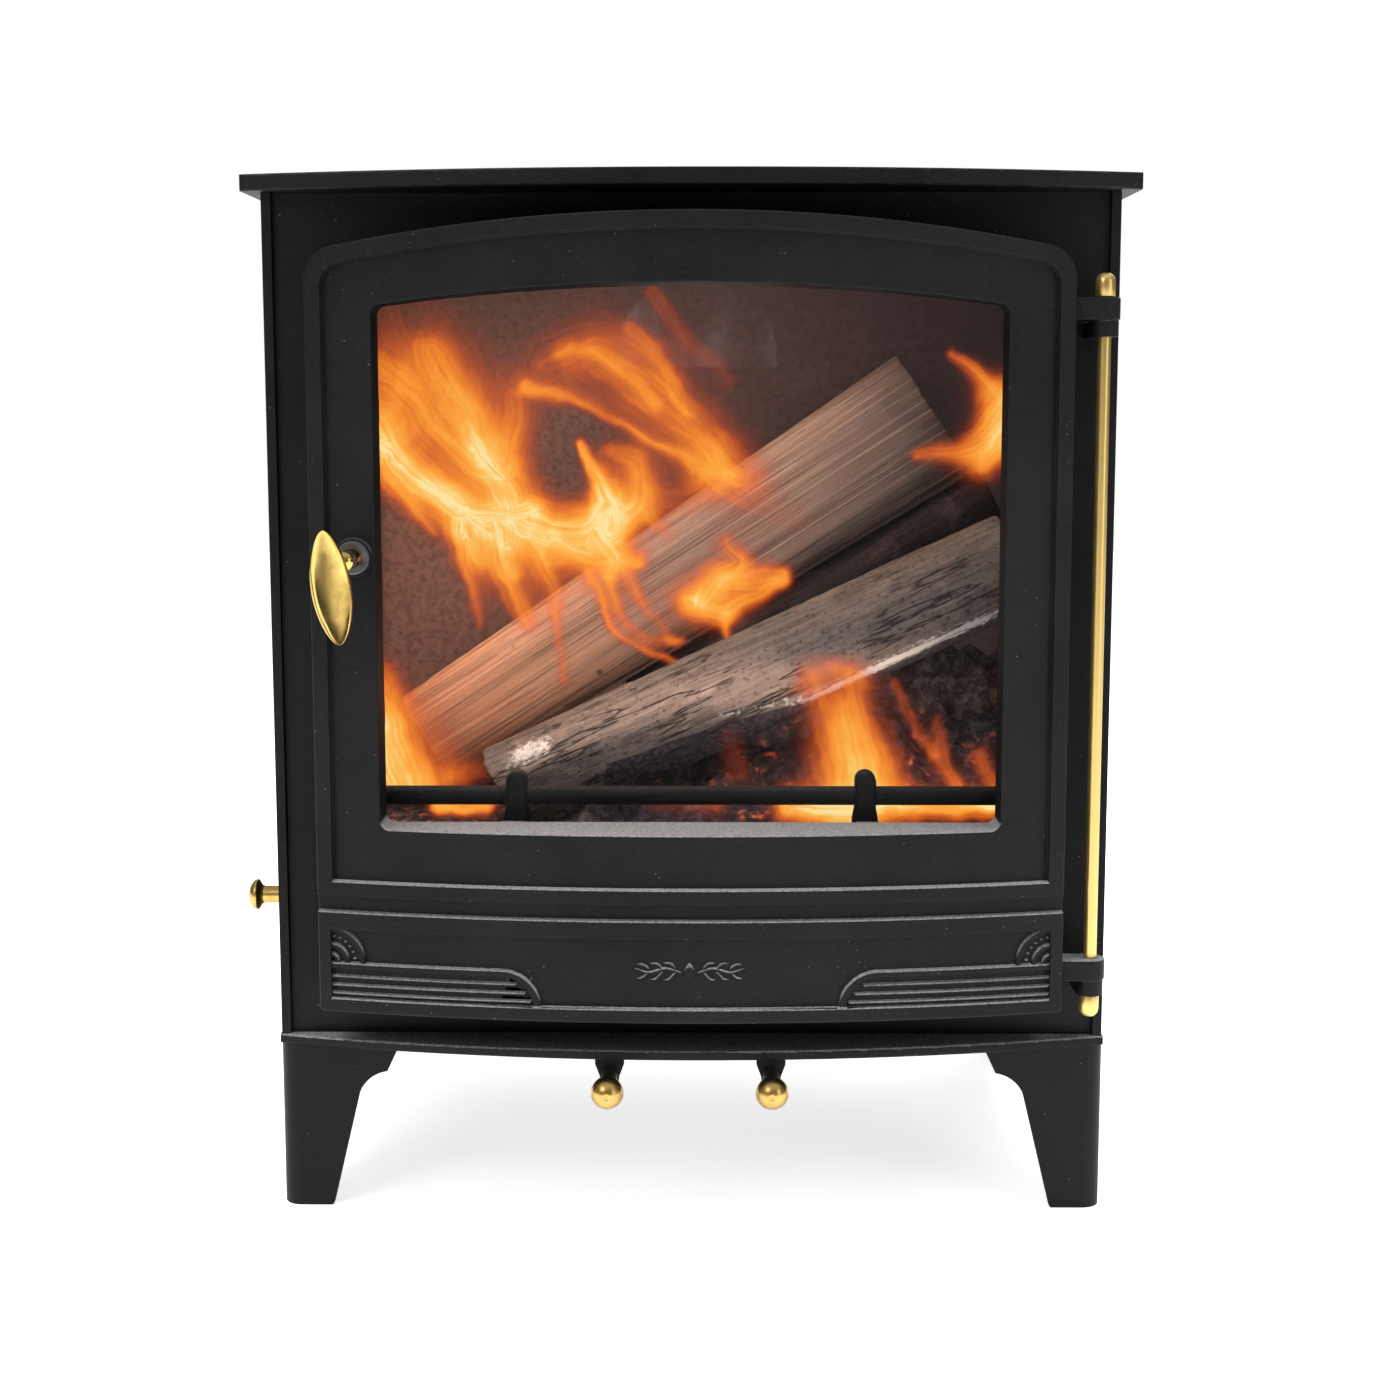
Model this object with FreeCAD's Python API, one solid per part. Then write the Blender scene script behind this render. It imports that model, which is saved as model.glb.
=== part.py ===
"""Wood burning stove: plate body, bowed cast door with a window, firebox, flue collar and air controls.

Millimetres. X runs to the right seen from the front, Y to the back, Z up. The origin is on the hearth,
under the centre of the body. Depths are given from FRONT, the plane of the side panels' front edges,
unless a name says so.
"""

import FreeCAD, Part
import math
import os

V = FreeCAD.Vector
X_AXIS = V(1, 0, 0)
Y_AXIS = V(0, 1, 0)
Z_AXIS = V(0, 0, 1)

# ---------------------------------------------------------------- body
HEIGHT = 645.0
BODY_W = 518.0
BODY_D = 350.0
FRONT = -BODY_D / 2
BACK = BODY_D / 2
LEG_H = 107.0
BASE_T = 6.0
BASE_W = 520.0
BASE_NOSE = 36.0
TOP_T = 10.0
TOP_W = 540.0
TOP_NOSE = 46.1
TOP_REAR_LIP = 10.0
SIDE_T = 6.0
BACK_T = 5.0
BOW_R = 958.8
SHELL_LOW = LEG_H + BASE_T
SHELL_TOP = HEIGHT - TOP_T
INNER_X = BODY_W / 2 - SIDE_T
RELIEF = 0.2
EDGE_ROUND = 1.2

# ---------------------------------------------------------------- legs
LEG_SHEET = 5.0
LEG_ARM = 77.0
LEG_BEND_R = 12.0
LEG_OUTER_X = 261.0
LEG_FLANGE = 48.0
LEG_BOLT_OFFSET = 34.0

# ---------------------------------------------------------------- door
DOOR_W = 454.0
DOOR_LOW = 139.4
DOOR_TOP = 619.0
DOOR_NOSE = 67.1
DOOR_BACK = -3.0
DOOR_ARCH_R = 1195.0
DOOR_CORNER_R = 20.0
DOOR_FOOT_R = 3.0
BORDER = 10.0
FIELD_DEPTH = 4.0
LIP_Z = 221.0
GROOVE_Z = (202.0, 212.0)
PANEL_Z = (148.0, 191.0)
PANEL_HALF_W = 219.0
CASTING_WALL = 8.0
WINDOW_W = 374.0
WINDOW_LOW = 253.3
WINDOW_TOP = 578.4
WINDOW_ARCH_R = 1386.0
WINDOW_CORNER_R = 6.0
GLASS_MARGIN = 6.5
GLASS_FRONT = -16.3
GLASS_T = 4.0
GASKET_T = 1.5
ROPE_INSET = 10.5
ROPE_W = 8.0
ROPE_DEPTH = 5.0
OPENING_INSET = 18.0

# ---------------------------------------------------------------- ribs and fans of the door's lower panel
FAN_X = 219.5
FAN_Z = 170.5
FAN_BANDS = ((18.6, 21.6), (8.6, 11.6), (2.6, 5.4))
RIB_TOP = 170.0
RIB_T = 3.6
RIB_TURN_X = 114.0
RIB_FOOT_X = 89.5
THIN_RIB_T = 1.9
THIN_RIBS = ((161.8, 104.5), (156.4, 99.0), (151.3, 95.5))

# ---------------------------------------------------------------- front frame
FRAME_FRONT = 4.0
FRAME_T = 5.0

# ---------------------------------------------------------------- hinge
HINGE_X = 246.0
HINGE_Y = -25.0
ROD_R = 4.0
RUNNING_FIT = 0.06
DOOR_LUG_R = 9.0
DOOR_LUG_T = 13.2
BODY_LUG_R = 8.25
BODY_LUG_T = 9.6
LUG_GAP = 0.3
UPPER_BODY_LUG_Z = 547.4
LOWER_BODY_LUG_Z = 147.4
CAP_R = 6.0
CAP_STRAIGHT = 8.4

# ---------------------------------------------------------------- latch
SPINDLE_X = -200.0
SPINDLE_Z = 418.0
SPINDLE_R = 5.0
SPINDLE_Y = (-66.0, 24.0)
BOSS_R = 10.0
CAM_Y = (10.0, 16.0)
CAM_R = 7.0
CAM_NOSE = 12.0
KEEPER_X = -216.5
LEVER_CENTRE_X = -206.6
LEVER_CENTRE_Z = 403.0
LEVER_LEAN = 7.5
LEVER_LENGTH = 67.0
LEVER_WIDTH = 24.5
LEVER_Y = (-85.5, -77.5)
NECK_R = 6.0

# ---------------------------------------------------------------- firebox
FLOOR_Z = 154.4
FLOOR_T = 3.0
PAN_LOW = 157.7
PAN_TOP = 184.0
PAN_HALF_W = 195.0
PAN_Y = (20.0, 318.0)
GRATE_Z = 199.0
GRATE_T = 14.0
GRATE_Y = (12.0, 318.0)
BRICK_T = 24.6
BRICK_TOP = 445.0
BAFFLE_TILT = 20.0
BAFFLE_T = 15.0
BAFFLE_LENGTH = 176.0
BAFFLE_CENTRE = (258.0, 497.0)
FLUE_Z = 545.0
FLUE_R = 63.5
FLUE_LENGTH = 60.0
BLANK_Y = BACK - 110.0
BLANK_R = 85.0
OUTLET_R = 75.0
GUARD_Y = 20.0
GUARD_Z = 263.0
GUARD_POST_X = 110.0

# ---------------------------------------------------------------- riddling control
RIDDLE_Y = 45.0
RIDDLE_Z = 192.8
RIDDLE_R = 5.6
RIDDLE_END_X = -287.4

# ---------------------------------------------------------------- air controls
AIR_X = 50.0
AIR_Z = 97.0
AIR_BALL_Y = -60.0
AIR_BALL_Z = 94.5
BALL_R = 10.0


# ================================================================ shape helpers
def box(x_span, y_span, z_span):
    """Box from three (low, high) spans."""
    size = [high - low for low, high in (x_span, y_span, z_span)]
    return Part.makeBox(*size, V(x_span[0], y_span[0], z_span[0]))


def rod(radius, start, end):
    """Round bar between two points."""
    line = V(*end) - V(*start)
    return Part.makeCylinder(radius, line.Length, V(*start), line)


def prism_xz(wire, y_span):
    """Extrude a closed wire drawn in the XZ plane over a span of depth."""
    face = Part.Face(wire)
    face.translate(V(0, y_span[0], 0))
    return face.extrude(V(0, y_span[1] - y_span[0], 0))


def polygon_xz(points):
    """Closed wire through (x, z) points."""
    corners = [V(x, 0, z) for x, z in points]
    return Part.makePolygon(corners + corners[:1])


def rectangle_xz(x_span, z_span):
    """Closed rectangle in XZ."""
    (left, right), (low, high) = x_span, z_span
    return polygon_xz([(left, low), (right, low), (right, high), (left, high)])


def mirrored(shape, normal):
    """Copy reflected in the plane through the origin with this normal."""
    return shape.mirror(V(0, 0, 0), normal)


def at_front(*depths):
    """Depths measured from the side panels' front edges, as Y."""
    return tuple(FRONT + depth for depth in depths)


def arched_wire(half_w, low, top, arch_r, corner_r, foot_r=0.0):
    """Upright outline in XZ: straight sides and foot, one wide arc on top, rounded upper corners.

    foot_r rounds the two lower corners; zero leaves them square.
    """
    arch_z = top - arch_r
    rise = math.sqrt((arch_r - corner_r) ** 2 - (half_w - corner_r) ** 2)
    corner = V(half_w - corner_r, 0, arch_z + rise)
    to_corner = V(corner.x, 0, corner.z - arch_z).normalize()
    on_arch = V(0, 0, arch_z) + to_corner * arch_r
    half_turn = (math.pi / 2 - math.atan2(to_corner.z, to_corner.x)) / 2
    middle_angle = math.pi / 4 - half_turn
    on_corner = corner + V(math.cos(middle_angle), 0, math.sin(middle_angle)) * corner_r
    side_top = V(half_w, 0, corner.z)
    left_arch, left_corner, left_top = [V(-p.x, 0, p.z) for p in (on_arch, on_corner, side_top)]
    edges = [
        Part.Arc(left_arch, V(0, 0, top), on_arch).toShape(),
        Part.Arc(on_arch, on_corner, side_top).toShape(),
        Part.LineSegment(side_top, V(half_w, 0, low + foot_r)).toShape(),
        Part.LineSegment(V(half_w - foot_r, 0, low), V(foot_r - half_w, 0, low)).toShape(),
        Part.LineSegment(V(-half_w, 0, low + foot_r), left_top).toShape(),
        Part.Arc(left_top, left_corner, left_arch).toShape(),
    ]
    if foot_r > 0:
        reach = foot_r * (1 - math.sqrt(0.5))
        for side in (1, -1):
            start = V(side * half_w, 0, low + foot_r)
            middle = V(side * (half_w - reach), 0, low + reach)
            end = V(side * (half_w - foot_r), 0, low)
            edges.append(Part.Arc(start, middle, end).toShape())
    return Part.Wire(Part.__sortEdges__(edges))


def door_outline(inset):
    """The door's outline drawn in by a distance all round."""
    return arched_wire(
        DOOR_W / 2 - inset,
        DOOR_LOW + inset,
        DOOR_TOP - inset,
        DOOR_ARCH_R - inset,
        max(DOOR_CORNER_R - inset, DOOR_FOOT_R),
        max(DOOR_FOOT_R - inset, 0.0),
    )


def window_outline(margin):
    """The window's outline grown by a margin all round."""
    return arched_wire(
        WINDOW_W / 2 + margin,
        WINDOW_LOW - margin,
        WINDOW_TOP + margin,
        WINDOW_ARCH_R + margin,
        WINDOW_CORNER_R + margin,
        WINDOW_CORNER_R + margin,
    )


def bow(nose, inset=0.0):
    """Upright cylinder whose front is the bowed surface that stands `nose` in front of the side panels."""
    centre = V(0, FRONT - nose + BOW_R, 0)
    return Part.makeCylinder(BOW_R - inset, HEIGHT, centre, Z_AXIS)


def bowed_plate(width, nose, y_back, z_span):
    """Flat plate with a bowed front edge, its long upper and lower front edges softened."""
    plate = box((-width / 2, width / 2), (FRONT - nose - 1, y_back), z_span).common(bow(nose))
    front_edges = [e for e in plate.Edges if isinstance(e.Curve, Part.Circle)]
    return plate.makeFillet(EDGE_ROUND, front_edges)


def hexagon(across_flats, z_span, x, y):
    """Upright hexagonal bar."""
    circle_r = across_flats / math.sqrt(3)
    corners = [
        V(x + circle_r * math.cos(turn), y + circle_r * math.sin(turn), z_span[0])
        for turn in (math.radians(60 * i) for i in range(7))
    ]
    return Part.Face(Part.makePolygon(corners)).extrude(V(0, 0, z_span[1] - z_span[0]))


def turned_y(profile, x, z):
    """Solid of revolution about an axis along Y: profile is a closed list of (radius, y) points."""
    corners = [V(x + radius, y, z) for radius, y in profile]
    face = Part.Face(Part.makePolygon(corners + corners[:1]))
    return face.revolve(V(x, 0, z), Y_AXIS, 360)


# ================================================================ body shell
def make_top_plate():
    """Thick bowed top plate with the stepped outlet for the blanking plate."""
    plate = bowed_plate(TOP_W, TOP_NOSE, BACK + TOP_REAR_LIP, (SHELL_TOP, HEIGHT))
    outlet = rod(OUTLET_R, (0, BLANK_Y, SHELL_TOP - 1), (0, BLANK_Y, HEIGHT))
    step = rod(BLANK_R + 0.5, (0, BLANK_Y, HEIGHT - 5.0), (0, BLANK_Y, HEIGHT + 1))
    return plate.cut(outlet).cut(step)


def make_base_plate():
    """Bowed base plate with two rows of air holes and the leg bolt holes."""
    plate = bowed_plate(BASE_W, BASE_NOSE, BACK, (LEG_H, SHELL_LOW))
    holes = [(x, y, 4.3) for x, y in leg_bolt_places()]
    for x in (-AIR_X, AIR_X):
        holes += [(x, FRONT + y, 8.0) for y in (50.0, 75.0, 100.0)]
    for x, y, radius in holes:
        plate = plate.cut(rod(radius, (x, y, LEG_H - 1), (x, y, SHELL_LOW + 1)))
    return plate


def make_side_panel(side):
    """Plain side plate; the left one has the hole for the riddling rod."""
    inner, outer = side * INNER_X, side * BODY_W / 2
    panel = box((min(inner, outer), max(inner, outer)), (FRONT, BACK), (SHELL_LOW, SHELL_TOP))
    if side < 0:
        y = FRONT + RIDDLE_Y
        panel = panel.cut(rod(7.0, (outer - 1, y, RIDDLE_Z), (inner + 1, y, RIDDLE_Z)))
    return panel


def make_back_panel():
    """Back plate with the flue hole and its four bolt holes."""
    panel = box((-INNER_X, INNER_X), (BACK - BACK_T, BACK), (SHELL_LOW, SHELL_TOP))
    panel = panel.cut(rod(FLUE_R + 4.0, (0, BACK - BACK_T - 1, FLUE_Z), (0, BACK + 1, FLUE_Z)))
    for x, z in flue_bolt_places():
        panel = panel.cut(rod(3.2, (x, BACK - BACK_T - 1, z), (x, BACK + 1, z)))
    return panel


def make_front_frame():
    """Plate behind the door, between the side panels, with an opening a little smaller than the door."""
    depth = at_front(FRAME_FRONT, FRAME_FRONT + FRAME_T)
    frame = box((-INNER_X, INNER_X), depth, (SHELL_LOW, SHELL_TOP))
    cut_depth = (depth[0] - 1, depth[1] + 1)
    frame = frame.cut(prism_xz(door_outline(OPENING_INSET), cut_depth))
    notch_low = KEEPER_X + 0.5
    notch = box((notch_low, SPINDLE_X), cut_depth, (SPINDLE_Z - 16.0, SPINDLE_Z + 16.0))
    return frame.cut(notch)


def make_firebox_floor():
    """Shelf that the ash pan slides on, with a slot that lets primary air up behind it."""
    depth = at_front(FRAME_FRONT + FRAME_T, 345.0)
    floor = box((-INNER_X, INNER_X), depth, (FLOOR_Z, FLOOR_Z + FLOOR_T))
    cut_z = (FLOOR_Z - 1, FLOOR_Z + FLOOR_T + 1)
    for x in (-90.0, 90.0):
        floor = floor.cut(box((x - 60.0, x + 60.0), at_front(326.0, 338.0), cut_z))
    return floor


# ================================================================ legs
def leg_corner(side, end):
    """Outer corner (x, y) of a leg: side -1 or 1 is left or right, end -1 or 1 is front or rear."""
    return side * LEG_OUTER_X, end * BODY_D / 2


def leg_bolt_places():
    """Bolt axes (x, y) of the four legs."""
    places = []
    for end in (-1, 1):
        for side in (-1, 1):
            x, y = leg_corner(side, end)
            places.append((x - side * LEG_BOLT_OFFSET, y - end * LEG_BOLT_OFFSET))
    return places


def leg_profile(x):
    """Outline of one arm of a leg in XZ: wide at the base plate, a hollow curve, then a long taper."""

    def at(distance, z):
        return V(x + distance, 0, z)

    edges = [
        Part.LineSegment(at(0, 0), at(0, LEG_H)),
        Part.LineSegment(at(0, LEG_H), at(LEG_ARM, LEG_H)),
        Part.LineSegment(at(LEG_ARM, LEG_H), at(LEG_ARM - 8.7, 88.3)),
        Part.Arc(at(LEG_ARM - 8.7, 88.3), at(56.6, 83.0), at(50.0, 72.5)),
        Part.LineSegment(at(50.0, 72.5), at(32.8, 1.5)),
        Part.LineSegment(at(32.8, 1.5), at(31.6, 0)),
        Part.LineSegment(at(31.6, 0), at(0, 0)),
    ]
    return Part.Wire([edge.toShape() for edge in edges])


def make_leg(side, end):
    """Sheet folded round the body's corner, both arms cut to one profile, with a flange for its bolt."""
    x, y = leg_corner(-1, -1)
    square = box((x, x + LEG_ARM), (y, y + LEG_ARM), (0, LEG_H))
    upright = [e for e in square.Edges if e.BoundBox.ZLength > LEG_H / 2]
    upright = [e for e in upright if e.BoundBox.XMax < x + 1 and e.BoundBox.YMax < y + 1]
    outer = square.makeFillet(LEG_BEND_R, upright)
    inner_x, inner_y = x + LEG_SHEET, y + LEG_SHEET
    core = box((inner_x, x + LEG_ARM + 9), (inner_y, y + LEG_ARM + 9), (-1, LEG_H + 1))
    upright = [e for e in core.Edges if e.BoundBox.ZLength > LEG_H / 2]
    upright = [e for e in upright if e.BoundBox.XMax < inner_x + 1 and e.BoundBox.YMax < inner_y + 1]
    fold = outer.cut(core.makeFillet(LEG_BEND_R - LEG_SHEET, upright))
    front_cut = prism_xz(leg_profile(x), (y - 2 * LEG_ARM, y + 2 * LEG_ARM))
    side_cut = front_cut.copy()
    side_cut.rotate(V(x, y, 0), Z_AXIS, 90)
    leg = fold.common(front_cut).common(side_cut)
    flange = box((inner_x, x + LEG_FLANGE), (inner_y, y + LEG_FLANGE), (LEG_H - LEG_SHEET, LEG_H))
    upright = [e for e in flange.Edges if e.BoundBox.ZLength > 1]
    upright = [e for e in upright if e.BoundBox.XMax < inner_x + 1 and e.BoundBox.YMax < inner_y + 1]
    flange = flange.makeFillet(LEG_BEND_R - LEG_SHEET, upright)
    leg = leg.fuse(flange).removeSplitter()
    bolt_x, bolt_y = x + LEG_BOLT_OFFSET, y + LEG_BOLT_OFFSET
    leg = leg.cut(rod(4.3, (bolt_x, bolt_y, LEG_H - 10), (bolt_x, bolt_y, LEG_H + 1)))
    leg = mirrored(leg, X_AXIS) if side > 0 else leg
    return mirrored(leg, Y_AXIS) if end > 0 else leg


def make_leg_bolts():
    """Four hexagon bolts up through leg and base plate, each with its nut."""
    pieces = []
    for x, y in leg_bolt_places():
        head_top = LEG_H - LEG_SHEET
        head = hexagon(13.0, (head_top - 5.3, head_top), x, y)
        pieces.append(head.fuse(rod(4.0, (x, y, head_top - 1), (x, y, SHELL_LOW + 9.0))).removeSplitter())
        nut = hexagon(13.0, (SHELL_LOW, SHELL_LOW + 6.5), x, y)
        pieces.append(nut.cut(rod(4.05, (x, y, SHELL_LOW - 1), (x, y, SHELL_LOW + 8.0))))
    return Part.makeCompound(pieces)


# ================================================================ flue
def flue_bolt_places():
    """Axes (x, z) of the four flue collar bolts."""
    turns = [math.radians(45 + 90 * i) for i in range(4)]
    return [(76.0 * math.cos(t), FLUE_Z + 76.0 * math.sin(t)) for t in turns]


def make_flue_collar():
    """Cast collar: a bolted flange and a spigot that takes the flue pipe."""
    flange = rod(82.0, (0, BACK, FLUE_Z), (0, BACK + 6.0, FLUE_Z))
    spigot = rod(FLUE_R + 5.5, (0, BACK, FLUE_Z), (0, BACK + FLUE_LENGTH, FLUE_Z))
    collar = flange.fuse(spigot).removeSplitter()
    circles = [e for e in collar.Edges if isinstance(e.Curve, Part.Circle)]
    root_and_mouth = [e for e in circles if abs(e.Curve.Radius - FLUE_R - 5.5) < 0.1]
    collar = collar.makeFillet(2.0, root_and_mouth)
    collar = collar.cut(rod(FLUE_R, (0, BACK - 1, FLUE_Z), (0, BACK + FLUE_LENGTH + 1, FLUE_Z)))
    for x, z in flue_bolt_places():
        collar = collar.cut(rod(3.2, (x, BACK - 1, z), (x, BACK + 7.0, z)))
    return collar


def make_flue_collar_bolts():
    """Four button-head bolts that hold the collar."""
    pieces = []
    for x, z in flue_bolt_places():
        profile = [(0, BACK - 9.0), (3.0, BACK - 9.0), (3.0, BACK + 6.0), (5.0, BACK + 6.0)]
        profile += [(4.2, BACK + 8.6), (2.4, BACK + 9.6), (0, BACK + 9.6)]
        pieces.append(turned_y(profile, x, z))
    return Part.makeCompound(pieces)


def make_flue_blanking_plate():
    """Round plate that closes the top outlet flush, with a blind threaded hole below."""
    plate = rod(BLANK_R, (0, BLANK_Y, HEIGHT - 5.0), (0, BLANK_Y, HEIGHT))
    boss = rod(12.0, (0, BLANK_Y, SHELL_TOP), (0, BLANK_Y, HEIGHT - 4.0))
    rim = [e for e in plate.Edges if isinstance(e.Curve, Part.Circle) and e.BoundBox.ZMin > HEIGHT - 1]
    plate = plate.makeFillet(0.8, rim).fuse(boss).removeSplitter()
    return plate.cut(rod(4.05, (0, BLANK_Y, SHELL_TOP - 1), (0, BLANK_Y, HEIGHT - 3.0)))


def make_blanking_clamp_bar():
    """Bar that spans the outlet under the top plate and pulls the blanking plate down."""
    reach = BLANK_R + 5.0
    bar = box((-reach, reach), (BLANK_Y - 12.5, BLANK_Y + 12.5), (SHELL_TOP - 6.0, SHELL_TOP))
    return bar.cut(rod(4.3, (0, BLANK_Y, SHELL_TOP - 7.0), (0, BLANK_Y, SHELL_TOP + 1)))


def make_blanking_bolt():
    """Hexagon bolt through the clamp bar into the blanking plate."""
    head_top = SHELL_TOP - 6.0
    head = hexagon(13.0, (head_top - 5.3, head_top), 0, BLANK_Y)
    return head.fuse(rod(4.0, (0, BLANK_Y, head_top - 1), (0, BLANK_Y, HEIGHT - 4.0))).removeSplitter()


# ================================================================ firebox
def make_side_brick(side):
    """Side lining brick with softened edges."""
    inner = INNER_X - BRICK_T - 0.3
    brick = box((inner, inner + BRICK_T), at_front(30.0, 318.0), (GRATE_Z + GRATE_T, BRICK_TOP))
    brick = brick.makeChamfer(2.0, [e for e in brick.Edges if e.BoundBox.XMax < inner + 1])
    return brick if side > 0 else mirrored(brick, X_AXIS)


def make_rear_brick():
    """Rear lining brick between the two side walls."""
    brick = box((-227.0, 227.0), at_front(320.0, 344.6), (GRATE_Z + GRATE_T, BRICK_TOP))
    return brick.makeChamfer(2.0, [e for e in brick.Edges if e.BoundBox.YMax < FRONT + 321.0])


def make_brick_retainer(side):
    """Upright steel strip that stops a side brick sliding forwards."""
    strip = box((223.0, INNER_X), at_front(26.0, 29.0), (GRATE_Z + GRATE_T, BRICK_TOP + 5.0))
    return strip if side > 0 else mirrored(strip, X_AXIS)


def tilted(shape):
    """Move a shape drawn level about the origin to the baffle's place and tilt."""
    shape.rotate(V(0, 0, 0), X_AXIS, -BAFFLE_TILT)
    shape.translate(V(0, FRONT + BAFFLE_CENTRE[0], BAFFLE_CENTRE[1]))
    return shape


def make_baffle_plate():
    """Sloping baffle, lower at the back, that makes the smoke pass over its front edge."""
    half = BAFFLE_LENGTH / 2
    plate = box((-250.0, 250.0), (-half, half), (-BAFFLE_T / 2, BAFFLE_T / 2))
    return tilted(plate.makeChamfer(2.0, [e for e in plate.Edges if e.BoundBox.YMax < 1 - half]))


def make_baffle_supports():
    """Two ledges under the baffle's sides, welded to the side panels."""
    under = -BAFFLE_T / 2
    ledges = [box((x, x + 14.5), (-80.0, 55.0), (under - 6.0, under)) for x in (238.0, -INNER_X + 0.2)]
    return tilted(Part.makeCompound(ledges))


def make_airwash_deflector():
    """Folded sheet under the top plate that turns secondary air down over the glass."""
    shelf = box((-230.0, 230.0), at_front(9.0, 44.0), (626.0, 629.0))
    apron = box((-230.0, 230.0), at_front(41.0, 44.0), (604.0, 626.0))
    ends = [box((x, x + 3.0), at_front(9.0, 44.0), (606.0, 626.0)) for x in (-230.0, 227.0)]
    return shelf.multiFuse([apron] + ends).removeSplitter()


def make_grate_frame():
    """Thick plate that carries bricks and logs, open in the middle for the riddling grate."""
    frame = box((-INNER_X + 0.2, INNER_X - 0.2), at_front(*GRATE_Y), (GRATE_Z, GRATE_Z + GRATE_T))
    well = box((-120.0, 120.0), at_front(70.0, 270.0), (GRATE_Z - 1, GRATE_Z + GRATE_T + 1))
    frame = frame.cut(well)
    for side in (-1, 1):
        for i in range(9):
            y = FRONT + 76.0 + 22.0 * i
            slot = box((-28.0, 28.0), (y, y + 10.0), (GRATE_Z - 1, GRATE_Z + GRATE_T + 1))
            slot.translate(V(side * 164.0, 0, 0))
            frame = frame.cut(slot)
    return frame


def make_grate_supports():
    """Two angles on the side panels that carry the grate frame, clear of the riddling rod."""
    depth = at_front(70.0, 300.0)
    wall = box((INNER_X - 3.0, INNER_X), depth, (GRATE_Z - 20.0, GRATE_Z))
    shelf = box((INNER_X - 21.0, INNER_X - 3.0), depth, (GRATE_Z - 3.0, GRATE_Z))
    angle = wall.fuse(shelf).removeSplitter()
    return Part.makeCompound([angle, mirrored(angle, X_AXIS)])


def make_riddling_grate():
    """Barred grate that slides in the frame's well, with the lug that its rod is welded to."""
    left, right = -98.0, 118.0
    grate = box((left, right), at_front(72.0, 268.0), (GRATE_Z, GRATE_Z + GRATE_T))
    pitch = (right - left - 12.0) / 9
    for i in range(9):
        x = left + 12.0 + pitch * i
        slot = box((x, x + pitch - 12.0), at_front(84.0, 256.0), (GRATE_Z - 1, GRATE_Z + GRATE_T + 1))
        grate = grate.cut(slot)
    lug = box((left, left + 8.0), at_front(RIDDLE_Y - 8.0, 90.0), (RIDDLE_Z - 7.0, GRATE_Z - 1.0))
    link = box((left, left + 8.0), at_front(73.0, 90.0), (GRATE_Z - 1.0, GRATE_Z))
    return grate.multiFuse([lug, link]).removeSplitter()


def make_riddling_rod():
    """Round brass rod out through the left side panel."""
    y = FRONT + RIDDLE_Y
    return rod(RIDDLE_R, (RIDDLE_END_X + 6.0, y, RIDDLE_Z), (-98.0, y, RIDDLE_Z))


def make_riddling_knob():
    """Domed brass knob on the rod's outer end."""
    flat_x = RIDDLE_END_X + 10.0
    knob_r = 10.0
    dome_rise = 3.0
    face = V(RIDDLE_END_X, 0, 0)
    rim = V(RIDDLE_END_X + dome_rise, 0, knob_r - 1.0)
    middle = V(RIDDLE_END_X + 0.8, 0, 5.0)
    edges = [
        Part.Arc(face, middle, rim),
        Part.Arc(rim, V(RIDDLE_END_X + dome_rise + 2.5, 0, knob_r), V(flat_x - 2.0, 0, knob_r - 1.2)),
        Part.LineSegment(V(flat_x - 2.0, 0, knob_r - 1.2), V(flat_x, 0, RIDDLE_R + 1.6)),
        Part.LineSegment(V(flat_x, 0, RIDDLE_R + 1.6), V(flat_x, 0, 0)),
        Part.LineSegment(V(flat_x, 0, 0), face),
    ]
    wire = Part.Wire([edge.toShape() for edge in edges])
    knob = Part.Face(wire).revolve(V(0, 0, 0), X_AXIS, 360)
    knob = knob.cut(rod(RIDDLE_R, (RIDDLE_END_X + 6.0, 0, 0), (flat_x + 1, 0, 0)))
    knob.translate(V(0, FRONT + RIDDLE_Y, RIDDLE_Z))
    return knob


def make_log_guard_bar():
    """Round bar across the front of the fire."""
    y = FRONT + GUARD_Y
    bar = rod(6.0, (-222.0, y, GUARD_Z), (222.0, y, GUARD_Z))
    return bar.makeChamfer(1.0, [e for e in bar.Edges if isinstance(e.Curve, Part.Circle)])


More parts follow.
